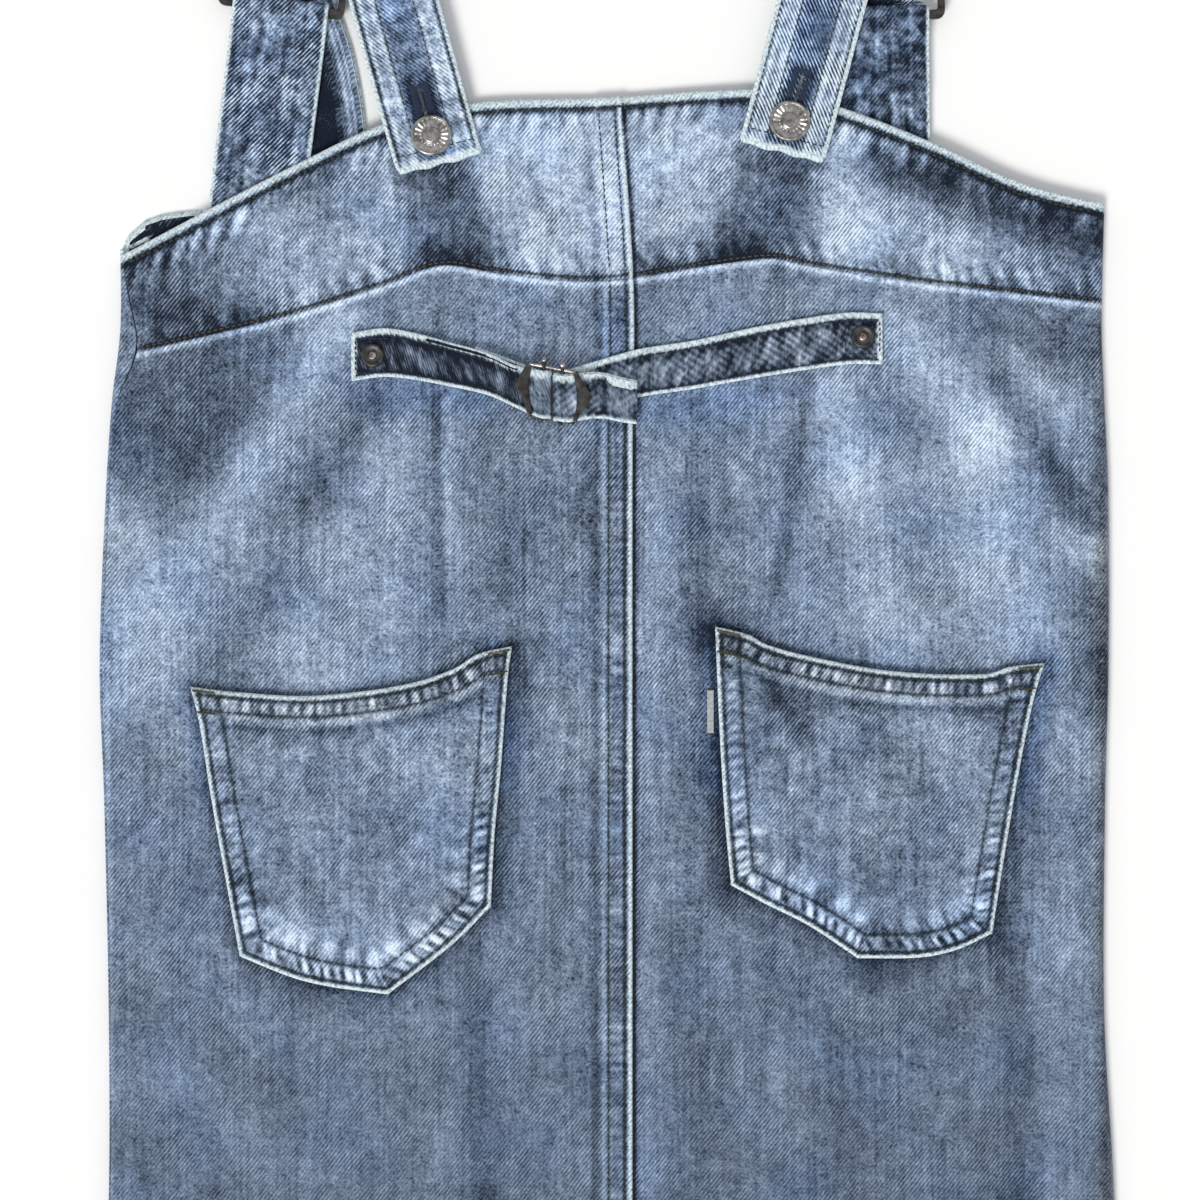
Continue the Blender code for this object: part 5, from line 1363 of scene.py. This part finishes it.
def build_tab(side, tab):
    """A strip folded round the slider's lower bar, its two legs sewn inside the front's top edge."""
    leg = CLOTH / 2
    wrap = SLIDER_PLATE / 2 + GAP + leg
    bar_a, bar_d = tab["bar"]
    lean = math.radians(tab["lean"])
    run, tail_run, front_run = ((end - bar_d) / math.cos(lean) for end in (TAB_SEWN_DOWN, tab["tail_end"], 36))
    sewn = CLOTH + GAP + leg
    tail = STRAP_CLOTH + GAP + leg
    over = tail + CLOTH + GAP
    # How far down from the bar and how high: the lower leg, the turn round the bar and the upper leg
    lower = [
        (run, sewn), (front_run, sewn), (tail_run + 6, sewn + 0.3), (tail_run + 1.5, tail),
        (tail_run * 0.5, tail), (10, tail), (0, SLIDER_HEIGHT - wrap),
    ]
    turns = [math.pi * step / 16 for step in range(17)]
    nose = [(-SLIDER_BAR / 2 - wrap * math.sin(turn), SLIDER_HEIGHT - wrap * math.cos(turn)) for turn in turns]
    upper = [
        (0, SLIDER_HEIGHT + wrap), (4, SLIDER_HEIGHT + wrap), (7, SLIDER_HEIGHT + wrap - 0.9), (11, over + 0.3),
        (15, over), (tail_run * 0.5, over), (tail_run + 1.5, over), (tail_run + 6, sewn + 0.3 + CLOTH + GAP),
        (front_run, sewn + CLOTH + GAP), (run, sewn + CLOTH + GAP),
    ]
    path = np.concatenate([paced(lower + nose + upper, 1.1), [upper[-1]]])
    across = bar_a + math.sin(lean) * path[:, 0]
    down = bar_d + math.cos(lean) * path[:, 0]
    same = np.ones(len(path))
    stations = np.column_stack([across, down, path[:, 1], lean * same, TAB_WIDTH * same])
    middle, aside = ribbon(stations, TAB_ASIDES)
    along = lengths_along(middle)
    along_all = along[:, None] + 0 * aside
    inside = TAB_WIDTH / 2 - np.abs(aside)
    bent = aside + 0.8 * wobble(along_all, 37, 3)
    pressed = np.sum([ridge(bent, line, 1.0) for line in tab["lines"]], axis=0)
    raised = np.sum([ridge(bent, line + 2.4, 1.5) for line in tab["lines"]], axis=0)
    blots = (puckers(along_all + 0.9 * aside, 12.0, 3) - 0.4) * wobble(aside + 0.2 * along_all, 19, 2)
    relief = -0.25 * rounded(inside, 0.8) - 0.3 + 0.3 * raised - 0.2 * pressed + 0.25 * blots
    outer = over_middle(middle, CLOTH / 2 + relief)
    shading = 0.04 * wobble(along_all, 23, 1) - 0.12 * pressed + 0.10 * raised + 0.22 * blots
    looks = {
        "grain": triple(aside, along_all),
        "wash_and_shade": tab["wash_and_shade"] + shading,
        "edge": np.minimum(inside * 0.9 + 0.2, UNWORN),
        "tint": 0.15,
        "seam": triple(along_all, 4.9 + np.abs(inside - 3.2), 0.3),
    }
    name = "strap_front_" + side
    piece = shell(name + "_cloth", outer, CLOTH - 0.2, [tab_denim[side]] * 2, looks)
    finish_strap(name)


def cinch_bed(across, down, width):
    """The highest cloth under a stretch of cinch strap."""
    a, k = np.meshgrid([-7, -3.5, 0, 3.5, 7], [-0.5, -0.25, 0, 0.25, 0.5])
    return float(np.max(back_top(across + a, down + width * k)))


def buckle_bed():
    low, high = BUCKLE["across"]
    return max(cinch_bed(a, BUCKLE["down"], CINCH_WIDTH) for a in (low, (low + high) / 2, high))


def cinch_stations(rows):
    keyed = [(a, d, level, width, math.pi / 2, steps) for a, d, level, width, steps in rows]
    stations = []
    for across, down, level, width, lean in route(keyed, 5, 6):
        near = float(smoothstep(abs(across - (LEFT_BAR + RIGHT_BAR) / 2), 45, 22))
        bed = cinch_bed(across, down, width)
        bed += (buckle_bed() - bed) * near
        stations.append((across, down, bed + level, lean, width))
    return stations


def wrap_bar(bar, toward, bed, down, upward):
    """Half a turn round a buckle bar's far edge, between the strap's lower and upper leg."""
    radius = LEG_PITCH / 2
    middle = bed + LOWER_LEG + radius
    edge = bar + toward * BAR_WIDTH / 2
    points = []
    for turn in (math.pi * step / 14 for step in range(15)):
        across, height = edge + toward * radius * math.sin(turn), middle - radius * math.cos(turn)
        points.append((across, down, height, math.pi / 2, CINCH_WIDTH - 0.4))
    return points if upward else points[::-1]


def evened(stations, pitch):
    """Stations at an even pitch along their path."""
    table = np.array(stations, float)
    steps = np.linalg.norm(np.diff(table[:, :3], axis=0), axis=1)
    table = table[np.concatenate([[True], steps > 1e-6])]
    lengths = reached(table[:, :3])
    at = np.linspace(0, lengths[-1], int(lengths[-1] / pitch) + 2)
    return np.stack([np.interp(at, lengths, column) for column in table.T], -1)


def cinch_piece(name, stations, mirrored):
    """A seamed strap of two layers. Its stations run from the rivet to its free end."""
    stations = evened(stations, 0.8)
    middle, aside = ribbon(stations, CINCH_ASIDES[::-1] if mirrored else CINCH_ASIDES)
    along = lengths_along(middle)
    width = stations[:, 4:5]
    along_all = along[:, None] + 0 * aside
    across = middle[..., 0] / MM
    from_top, from_foot = width / 2 - aside, width / 2 + aside
    inside = np.minimum(from_top, from_foot)
    rows = ridge(from_top, 3.2, 0.7) + ridge(from_foot, 1.9, 0.6)
    relief = -0.4 * rounded(inside, 0.7) - 0.3 * rows - 0.1
    relief += 0.2 * wobble(along_all, 5, 1) * ridge(inside, 5.0, 2.6) + 0.1 * wobble(along_all, 15, 2)
    outer = over_middle(middle, CINCH_CLOTH / 2 + relief)

    # The rolls over the buckle's bars and the free end are worn; painted shade lines mark a crease along the
    # left strap's doubled part and the fold where the free end rolls up
    rolls = smoothstep(across, -36, -33) * (1 - smoothstep(across, -8, -5))
    last = along_all > along[-1] - 20
    end = (np.abs(across - 6.2) < 6.8) & last
    worn = np.maximum(rolls, end)
    doubled = smoothstep(across, -84, -76) * (1 - smoothstep(across, -42, -38)) * (name == "cinch_left")
    blots = puckers(along_all + 0.6 * aside, 6.0, 2) - 0.45
    wash_and_shade = CINCH_WASH[name] + 0.05 * wobble(along_all, 13, 2) + 0.05 * wobble(along_all + 0.5 * aside, 29, 1)
    wash_and_shade += 0.16 * ridge(inside, 0.8, 0.9) - 0.12 * ridge(from_top, 5.2, 1.5)
    wash_and_shade += 0.26 * blots * ridge(inside, 5.6, 2.6) - 0.10 * ridge(from_foot, 3.9, 1.4)
    wash_and_shade += (0.44 - wash_and_shade) * worn * (inside > 1.5) - 0.22 * ridge(across, -0.9, 1.1) * last
    wash_and_shade -= 0.25 * doubled * ridge(from_top, 1.7, 0.5)
    worn_top = from_top * (0.5 - 0.12 * rolls)
    worn_top = np.where((doubled > 0.5) & (np.abs(from_top - 1.7) < 0.4), 2.6, worn_top)
    oval = ((across - 6.3) / 7.0) ** 2 + ((from_top - 1.9) / 2.9) ** 2 < 1
    worn_top = np.where(oval & (along_all > along[-1] - 24), 0.0, worn_top)
    edge = np.min([worn_top, from_foot * 0.9, along_all * 0.7], axis=0)
    row_off = np.minimum(np.abs(from_top - 3.4), np.abs(from_foot - 2.0))
    way = -1 if mirrored else 1
    looks = {
        "grain": triple(way * along_all + 90, aside * 0.7 + 0.7 * along_all),
        "wash_and_shade": wash_and_shade,
        "edge": np.clip(edge, 0, UNWORN),
        "tint": -0.35,
        "seam": triple(along_all, 4.6 + row_off, 0.6 * (1.0 - 0.8 * worn)),
    }
    piece = shell(name + "_cloth", outer, CINCH_CLOTH + relief, [cinch_denim] * 2, looks)
    finish_strap(name)
    return piece


def swell(stations, first, last, most, over):
    """Raises stations that lie above a height, between two places across, to a soft roll."""
    for row in stations:
        if first < row[0] < last and row[2] > over:
            row[2] += most * math.sin(math.pi * (row[0] - first) / (last - first)) ** 0.8
    return stations


CINCH_WASH = {"cinch_left": 0.27, "cinch_right": 0.48}


def build_cinch():
    bed = buckle_bed()
    down, lean = BUCKLE["down"], math.pi / 2
    below, above = bed + LOWER_LEG, bed + LOWER_LEG + LEG_PITCH
    swelling = bed + 2 * LOWER_LEG
    left = cinch_stations(LEFT_CINCH) + wrap_bar(LEFT_BAR, 1, bed, down, upward=False)
    for across, at, width in ((LEFT_BAR, 131.0, 21.2), (-41.0, 125.4, 18.5), (LEFT_CINCH_RETURN, 118.8, 18.0)):
        left.append((across, at, below, lean, width))
    left = swell(evened(left, 0.7), -36.0, -25.2, 1.5, swelling)
    right = cinch_stations(RIGHT_CINCH) + wrap_bar(RIGHT_BAR, -1, bed, down + 1.0, upward=True)
    for across, at, width in [(RIGHT_BAR + step, down + 1.6, 21.2) for step in (0, BAR_WIDTH / 2)] + CINCH_TAIL:
        right.append((across, at, above, lean, width))
    right = swell(evened(right, 0.7), -23.6, -12.0, 1.5, swelling)
    right = swell(right, -0.6, 13.4, 1.5, swelling)
    return [
        cinch_piece("cinch_left", left, False),
        cinch_piece("cinch_right", right, True),
    ]


# ---- metal


def loft(rings, caps=None):
    """Points and faces of a closed skin over rings of points, with a point in the middle of each end."""
    count, around = rings.shape[:2]
    caps = [rings[0].mean(0), rings[-1].mean(0)] if caps is None else caps
    index = np.arange(count * around).reshape(count, around)
    after = np.roll(index, -1, axis=1)
    sides = np.stack([index[:-1], after[:-1], after[1:], index[1:]], -1).reshape(-1, 4).tolist()
    first = [[index.size, there, here] for here, there in zip(index[0].tolist(), after[0].tolist())]
    last = [[index.size + 1, here, there] for here, there in zip(index[-1].tolist(), after[-1].tolist())]
    return np.concatenate([rings.reshape(-1, 3), caps]), sides + first + last


def outward(points, faces):
    """The faces turned so that they look out of their solid."""
    triangles = [face[:3] for face in faces] + [face[:1] + face[2:] for face in faces if len(face) == 4]
    volume = np.sum(np.linalg.det(points[np.array(triangles)]))
    return faces if volume > 0 else [face[::-1] for face in faces]


def turned(steps):
    return np.linspace(0, 2 * np.pi, steps, endpoint=False)


def revolve(name, profile, across, down, height, material, steps, notches=None):
    """A turned piece: its profile is radius and height, from the top of its axis down its outer side.
    Notches round it are their number, their depth and the two radii that they lie between."""
    fine = np.concatenate([paced(profile, 0.22), [profile[-1]]])
    radius, up = fine[1:-1, :1], fine[1:-1, 1:]
    rise = up
    if notches:
        number, depth, low, high = notches
        cut = (radius > low) & (radius < high) & (up > 0.3)
        rise = up - depth * cut * (0.5 + 0.5 * np.cos(number * turned(steps)))
    rings = triple(radius * np.cos(turned(steps)), radius * np.sin(turned(steps)), rise) * MM
    ends = np.array([[0, 0, fine[0, 1]], [0, 0, fine[-1, 1]]]) * MM
    centre = place(across, down, height)
    points, faces = loft(rings + centre, ends + centre)
    return mesh_piece(name, points.tolist(), outward(points, faces), [material])


def build_button(side):
    across, down = BUTTONS[side]
    turn = np.arange(7)
    rim = back_top(across + 9 * np.cos(turn), down + 9 * np.sin(turn))
    seat = float(rim.max()) + GAP + STRAP_CLOTH + GAP
    foot = float(back_top(across, down)) + GAP - seat
    profile = [
        (0, 2.6), (1.6, 2.55), (2.8, 2.35), (3.5, 2.0), (3.75, 1.55), (4.1, 1.5), (5.0, 1.75), (6.4, 1.95),
        (7.4, 2.0), (7.8, 2.3), (8.3, 2.35), (8.8, 1.9), (9.0, 1.2), (8.9, 0.5), (8.4, 0), (SHANK_RADIUS, 0),
        (SHANK_RADIUS, foot), (0, foot),
    ]
    notches = (20, 0.5, 4.5, 7.5)
    piece = revolve("button_" + side + "_cap", profile, across, down, seat, antique_silver, 120, notches)
    stands_for("button_" + side)


def build_rivet(side):
    across, down = RIVETS[side]
    seat = cinch_bed(across, down, 12) + GAP + CINCH_CLOTH + GAP
    profile = [
        (0, 1.25), (1.3, 1.2), (2.0, 0.85), (2.8, 0.8), (3.4, 1.0), (4.1, 1.35), (4.7, 1.25), (5.1, 0.8),
        (RIVET_RADIUS, 0.4), (5.0, 0.0), (0, 0.0),
    ]
    piece = revolve("rivet_" + side + "_cap", profile, across, down, seat, blackened, 64)
    piece.data.materials.append(rubbed)
    centre = Vector(place(across, down, seat))
    for face in piece.data.polygons:
        face.material_index = int((face.center - centre).xy.length < 1.5 * MM)
    stands_for("rivet_" + side)


def smoothed(points, count):
    """Points on a smooth curve through a few."""
    lengths = reached(points)
    keyed = np.column_stack([lengths, points])
    at = np.linspace(0, lengths[-1], count)
    return np.stack([read(keyed, at, column) for column in (1, 2)], -1)


def plate_skin(outer_side, inner_side, height, thick):
    """A plate between two curves of across and down, with round edges."""
    outside, inside = smoothed(outer_side, 30), smoothed(inner_side, 30)
    wide, high = (np.sign(wave) * np.abs(wave) ** 0.5 for wave in (np.cos(turned(20)), np.sin(turned(20))))
    middle, half = (outside + inside) / 2, (outside - inside) / 2
    plan = middle[:, None] + half[:, None] * wide[None, :, None]
    return loft(place(plan[..., 0], plan[..., 1], height + thick / 2 * high[None]))


def wire_skin(path, radius, height):
    """A round wire along a path of across and down, level at a height."""
    path = smoothed(path, 14)
    plan = path[:, None] + radius * beside(path)[:, None] * np.cos(turned(12))[None, :, None]
    return loft(place(plan[..., 0], plan[..., 1], height + radius * np.sin(turned(12))[None]))


def ball_skin(across, down, height, radius):
    lift = np.linspace(-1, 1, 11)[1:-1, None]
    wide, turn = radius * np.sqrt(1 - lift**2), turned(16)
    return loft(place(across + wide * np.cos(turn), down + wide * np.sin(turn), height + radius * lift))


# The buckle's side plates: outer and inner edge from top to bottom, across and down
LEFT_PLATE = (
    [
        (-35.4, 117.4), (-37.6, 121.4), (-39.7, 124.6), (-40.8, 126.8), (-40.0, 129.4), (-38.0, 132.2),
        (-36.7, 135.2), (-36.0, 138.2), (-34.4, 140.6),
    ],
    [(-33.2, 118.2), (-34.2, 122.8), (-34.7, 127.4), (-34.7, 131.4), (-34.0, 135.4), (-33.0, 139.8)],
)
RIGHT_PLATE = (
    [
        (-13.6, 121.0), (-11.9, 124.0), (-9.7, 127.6), (-7.9, 130.8), (-7.5, 133.4), (-8.8, 136.0),
        (-11.0, 138.4), (-12.8, 141.2), (-13.9, 144.0),
    ],
    [(-15.4, 122.0), (-14.2, 126.6), (-13.7, 131.0), (-13.7, 135.0), (-14.3, 139.0), (-15.5, 142.8)],
)
BUCKLE_BARS = (((-27.9, 117.0), (-29.7, 141.8)), ((-19.9, 119.4), (-20.9, 143.6)))  # top and foot of each bar


def build_buckle():
    """Two curved side plates joined by a wire above and below, and two bars with ball ends that the strap rolls
    round. Its bars are blackened, and the upper wire and the upper balls are rubbed bright."""
    floor = buckle_bed() + LOWER_LEG + LEG_PITCH + CINCH_CLOTH / 2 + GAP
    bar_level = floor - GAP - CINCH_CLOTH - GAP - BAR_THICK / 2
    parts = [
        (plate_skin(*LEFT_PLATE, floor + 1.0, 1.3), 0),
        (plate_skin(*RIGHT_PLATE, floor + 1.0, 1.3), 0),
        (wire_skin([(-34.6, 117.9), (-24.0, 119.8), (-14.2, 121.7)], 0.75, floor + 1.1), 1),
        (wire_skin([(-34.0, 140.4), (-24.0, 142.2), (-14.6, 143.6)], 0.7, bar_level), 0),
    ]
    for (top_a, top_d), (foot_a, foot_d) in BUCKLE_BARS:
        bar = [(top_a, top_d), ((top_a + foot_a) / 2, (top_d + foot_d) / 2), (foot_a, foot_d)]
        hook = [(top_a, top_d - 1.0), (top_a, top_d + 1.0), (top_a - 0.1, top_d + 3.2)]
        parts += [
            (wire_skin(bar, 0.9, bar_level), 0),
            (wire_skin(hook, 0.85, floor + 1.4), 0),
            (ball_skin(top_a, top_d - 0.9, floor + 1.9, 1.35), 1),
            (ball_skin(foot_a, foot_d + 0.2, bar_level, 1.15), 0),
        ]
    points, faces, index = [], [], []
    for (part_points, part_faces), material in parts:
        start = len(points)
        points += part_points.tolist()
        faces += [[start + corner for corner in face] for face in outward(part_points, part_faces)]
        index += [material] * len(part_faces)
    piece = mesh_piece("cinch_buckle_cast", points, faces, [blackened, rubbed])
    piece.data.polygons.foreach_set("material_index", index)
    stands_for("cinch_buckle")


def keep_metal(name, material, round_edge):
    """A node whose shape is right: its own finish, and its edges rounded."""
    piece = bpy.data.objects[name]
    for slot in piece.material_slots:
        slot.material = material
    edge = piece.modifiers.new("edge", "BEVEL")
    edge.width = round_edge * MM
    edge.segments = 3
    edge.limit_method = "ANGLE"
    edge.angle_limit = math.radians(35)
    edge.harden_normals = True


# ---- sewing


class Bed:
    """The seen side of pieces, to lay thread on."""

    def __init__(self, *pieces):
        points, faces = [], []
        for piece in pieces:
            start = len(points)
            points += [vertex.co.copy() for vertex in piece.data.vertices]
            faces += [[start + corner for corner in face.vertices] for face in piece.data.polygons]
        self.tree = BVHTree.FromPolygons(points, faces)

    def at(self, across, down):
        """Point and normal at a place, or nothing where no cloth lies."""
        above = Vector((across * MM, (MIDDLE_DOWN - down) * MM, 0.1))
        point, normal, _, _ = self.tree.ray_cast(above, Vector((0, 0, -1)))
        return (point, normal) if point is not None else None


# Rings of six points round a stitch: where along it, its radius and its lift
STITCH_RINGS = [(-0.5, 0.35, -0.7), (-0.36, 0.9, -0.15), (0.0, 1.0, 0.1), (0.36, 0.9, -0.15), (0.5, 0.35, -0.7)]
STITCH_SIDES = 6
FINE_PACE = 0.25  # a row's path is followed in steps of this many mm


def stitch_solids(runs, radius):
    """Points and faces of stitches from where each one starts, ends and faces."""
    starts, ends, normals = (np.array(column, float) for column in zip(*runs))
    along = ends - starts
    length = np.linalg.norm(along, axis=1, keepdims=True)
    along /= np.maximum(length, 1e-9)
    normals -= along * np.sum(normals * along, axis=1, keepdims=True)
    normals /= np.maximum(np.linalg.norm(normals, axis=1, keepdims=True), 1e-9)
    aside = np.cross(along, normals)
    turn = turned(STITCH_SIDES)[None, :, None]
    round_it = aside[:, None] * np.cos(turn) + 0.8 * normals[:, None] * np.sin(turn)
    rings = []
    for at, wide, lift in STITCH_RINGS:
        centre = (starts + ends) / 2 + along * at * length + normals * lift * radius
        rings.append(centre[:, None] + radius * wide * round_it)
    index = np.arange(len(rings) * STITCH_SIDES).reshape(-1, STITCH_SIDES)
    after = np.roll(index, -1, axis=1)
    sides = np.stack([index[:-1], after[:-1], after[1:], index[1:]], -1).reshape(-1, 4)
    ends = np.stack([index[0, ::-1], index[-1]])
    first = index.size * np.arange(len(runs))[:, None, None]
    faces = [(part + first).reshape(-1, part.shape[1]).tolist() for part in (sides, ends)]
    return np.stack(rings, 1).reshape(-1, 3).tolist(), faces[0] + faces[1]


class Thread:
    """Collects stitches of one thread, then makes them one mesh."""

    def __init__(self, name, material, radius=0.29):
        self.name, self.material, self.radius, self.runs = name, material, radius, []

    def stitch(self, bed, start, end):
        first, last = bed.at(*start), bed.at(*end)
        if first and last:
            normal = (first[1] + last[1]).normalized()
            lift = normal * (self.radius * 0.35 * MM)
            self.runs.append((first[0] + lift, last[0] + lift, normal))

    def row(self, bed, path, pitch=2.75, length=2.1, stray=0.08, seed=0):
        """A row along a path of across and down. stray is how far stitches lie off it."""
        fine = paced(path, FINE_PACE)
        step, reach = round(pitch / FINE_PACE), round(length / FINE_PACE)
        rng = np.random.default_rng(seed + 7)
        for first in range(step // 2, len(fine) - reach, step):
            shake = rng.normal(0, stray, 2)
            self.stitch(bed, fine[first] + shake, fine[first + reach] + shake * 0.5)

    def satin(self, bed, path, width, pitch=0.55):
        """Close stitches across a path."""
        fine = paced(path, pitch)
        for k, (point, aside) in enumerate(zip(fine, beside(fine))):
            slant = np.array([aside[1], -aside[0]]) * pitch / 2
            reach = aside * width / 2 * (1 + 0.1 * math.sin(2.3 * k)) + slant
            self.stitch(bed, point - reach, point + reach)

    def finish(self):
        points, faces = stitch_solids(self.runs, self.radius * MM)
        mesh_piece(self.name, points, faces, [self.material])


def offset_path(path, away):
    """A path moved sideways, to its right as it runs."""
    return np.asarray(path, float) + beside(path) * away


def inset_path(path, away):
    """A path moved to its left as it runs, without the loops that this makes at sharp turns."""
    moved = offset_path(path, -away)
    off, _ = nearest(moved[:, 0], moved[:, 1], path)
    return moved[off > away - 0.25]


def edge_line(table, below, start, end):
    """A line a set way below an edge, from start to end across."""
    across = np.arange(start, end, 2.0)
    return offset_path(np.stack([across, read(table, across)], -1), below)


def seen_path(points):
    """Across and down of points on a grid."""
    return np.stack([points[:, 0] / MM, MIDDLE_DOWN - points[:, 1] / MM], -1)


def sew_panels(yokes, skirts):
    top = Thread("topstitch_top", topstitch, 0.6)
    seam = Thread("topstitch_yoke", olive_thread, 0.42)
    centre = Thread("topstitch_centre", topstitch, 0.32)
    hem = Thread("topstitch_hem", topstitch)
    yoke_bed, skirt_bed = Bed(*yokes), Bed(*skirts)
    top.row(yoke_bed, edge_line(BACK_TOP, 4.6, -213, 216), stray=0.3, seed=1)
    seam.row(yoke_bed, edge_line(YOKE_SEAM, -1.5, -212, -2), seed=2)
    seam.row(yoke_bed, edge_line(YOKE_SEAM, -1.5, 11.5, 216), seed=3)
    for bed, start, end, seed in ((yoke_bed, 3, 78, 4), (skirt_bed, 81, 928, 5)):
        down = np.arange(start, end, 2.0)
        for row in SEAM_ROWS:
            centre.row(bed, np.stack([band(down)[0] + row, down], -1), seed=seed)
    hem.row(skirt_bed, edge_line(HEM_LINE, -18, -228, 228), seed=6)
    for thread in (top, seam, centre, hem):
        thread.finish()


def sew_pocket(name, pocket, piece):
    thread = Thread("topstitch_" + name, topstitch, 0.24)
    bar = Thread("bartack_" + name, olive_thread, 0.27)
    bed = Bed(piece)
    rim = pocket_rim(pocket)
    top = along_edge(pocket["top"], np.linspace(0, 1, 61))
    for k, (row, hem_row) in enumerate(zip(POCKET_ROWS, HEM_ROWS)):
        thread.row(bed, inset_path(rim, row), seed=10 + k)
        thread.row(bed, offset_path(top, hem_row)[1:-1], seed=12 + k)
    for ends in ((0.008, 0.075), (0.992, 0.925)):
        corner = along_edge(pocket["top"], np.array(ends))
        for lower, width in ((1.3, 1.5), (10.6, 0.9)):
            bar.satin(bed, corner + (0, lower), width)
    thread.finish()
    bar.finish()


def sew_strap(side, piece, outer, along, lean):
    """Four rows down a strap's seen leg and one across its end, and satin round its buttonhole."""
    thread = Thread("topstitch_strap_" + side, topstitch, 0.27)
    satin = Thread("buttonhole_" + side, blue_thread, 0.24)
    bed = Bed(piece)
    seen = int(np.searchsorted(along, 222))
    for row in (-17.0, -8.0, 8.0, 17.0):
        column = int(np.argmin(np.abs(STRAP_OFFSETS - row)))
        thread.row(bed, seen_path(outer[3:seen, column]), seed=int(30 + row))
    thread.row(bed, seen_path(outer[4, 3:-3]), seed=44)
    foot = np.array(BUTTONS[side])
    way = np.array([-math.sin(lean), -math.cos(lean)])
    aside = np.array([math.cos(lean), -math.sin(lean)])
    for sign in (-1, 1):
        reaches = np.linspace(-2, BUTTONHOLE_LENGTH - 2, 12)[:, None]
        satin.satin(bed, foot + way * reaches + aside * sign * 2.75, 3.2)
    end = foot + way * (BUTTONHOLE_LENGTH - 1.2)
    satin.satin(bed, end + aside * np.linspace(-4, 4, 5)[:, None], 2.6)
    thread.finish()
    satin.finish()


def sew_cinch(pieces):
    """Rows beside the cinch's edges, a box round each rivet, and a triangle with two bars at the left fold."""
    thread = Thread("topstitch_cinch", blue_thread, 0.33)
    bed = Bed(*pieces)
    for table in (LEFT_CINCH, RIGHT_CINCH):
        rows = np.array([row[:4] for row in table if not -42 < row[0] < 0])
        fine = np.linspace(0, len(rows) - 1, 60)
        for sign, inset in ((-1, 3.3), (1, 2.0)):
            edge = rows[:, 1] + sign * (rows[:, 3] / 2 - inset)
            keyed = np.column_stack([np.arange(len(rows)), rows[:, 0], edge])
            line = np.stack([read(keyed, fine, column) for column in (1, 2)], -1)
            thread.row(bed, line, 2.6, 1.9, seed=50 + sign)
    box = np.array([(-7.5, -7.5), (7.5, -7.5), (7.5, 7.5), (-7.5, 7.5), (-7.5, -7.5)])
    for rivet in RIVETS.values():
        for corner, following in zip(box, box[1:]):
            thread.row(bed, [corner + rivet, following + rivet], 2.2, 1.7, seed=60)
    for end in ((-44.5, 119.5), (-45.0, 132.0)):
        thread.row(bed, [(-59.0, 124.0), end], 2.2, 1.7, seed=61)
    for across in (-45.0, -43.6):
        thread.row(bed, [(across, 119.5), (across, 132.0)], 1.8, 1.5, seed=62)
    thread.finish()


# ---- room, light and camera


FLOOR_HALF = 1.6
FLOOR_BELOW = 0.0002
PIXEL = 0.44 * MM  # what one pixel of the photo shows
CAMERA_HEIGHT = 1.3
CLOTH_LEVEL = 0.005  # the height at which the picture's scale is true


def build_room():
    """A white paper floor under a pale sky and one soft lamp from the upper left."""
    white = hex_colour("ffffff")
    paper, _ = new_material("pale_paper", Base_Color=white, Roughness=0.9, Specular_IOR_Level=0.1)
    floor = bpy.data.meshes.new("floor")
    corners = [(x * FLOOR_HALF, y * FLOOR_HALF, -FLOOR_BELOW) for x, y in ((-1, -1), (1, -1), (1, 1), (-1, 1))]
    floor.from_pydata(corners, [], [(0, 1, 2, 3)])
    floor.materials.append(paper)
    ground = bpy.data.objects.new("floor", floor)
    bpy.context.scene.collection.objects.link(ground)
    world = bpy.data.worlds.new("studio")
    world.use_nodes = True
    background = world.node_tree.nodes["Background"]
    background.inputs["Color"].default_value = hex_colour("fbfcff")
    background.inputs["Strength"].default_value = 0.55
    bpy.context.scene.world = world
    sun = bpy.data.lights.new("softbox", "SUN")
    sun.energy = 2.1
    sun.angle = math.radians(22)
    sun.color = hex_colour("fffdf8")[:3]
    lamp = bpy.data.objects.new("softbox", sun)
    lamp.rotation_euler = (math.radians(38), math.radians(-24), 0)
    bpy.context.scene.collection.objects.link(lamp)
    bpy.context.scene.view_settings.view_transform = "Standard"


def build_camera():
    """Straight above, at the photo's frame."""
    lens = bpy.data.cameras.new("camera")
    lens.sensor_width = 36
    lens.lens = 36 * (CAMERA_HEIGHT - CLOTH_LEVEL) / (PIXEL * IMAGE_WIDTH)
    camera = bpy.data.objects.new("camera", lens)
    camera.location = (-0.00352, 0.1432, CAMERA_HEIGHT)
    bpy.context.scene.collection.objects.link(camera)
    bpy.context.scene.camera = camera


# ---- everything

sew_panels(*build_back())
build_front()
for name, pocket, base, marks in (
    ("pocket_left", LEFT_POCKET, 0.555, LEFT_POCKET_WASH_AND_SHADE),
    ("pocket_right", RIGHT_POCKET, 0.535, RIGHT_POCKET_WASH_AND_SHADE),
):
    sew_pocket(name, pocket, build_pocket(name, pocket, base, marks))
build_pocket_tab()
for side, table, base, seed in (("left", LEFT_STRAP, 0.53, 1), ("right", RIGHT_STRAP, 0.53, 2)):
    strap, outer, along = build_strap(side, table, base, seed)
    sew_strap(side, strap, outer, along, math.radians(table[0][3]))
    build_tab(side, TABS[side])
    build_button(side)
    keep_metal("slider_" + side, blackened, 0.45)
    build_rivet(side)
sew_cinch(build_cinch())
build_buckle()
build_room()
build_camera()
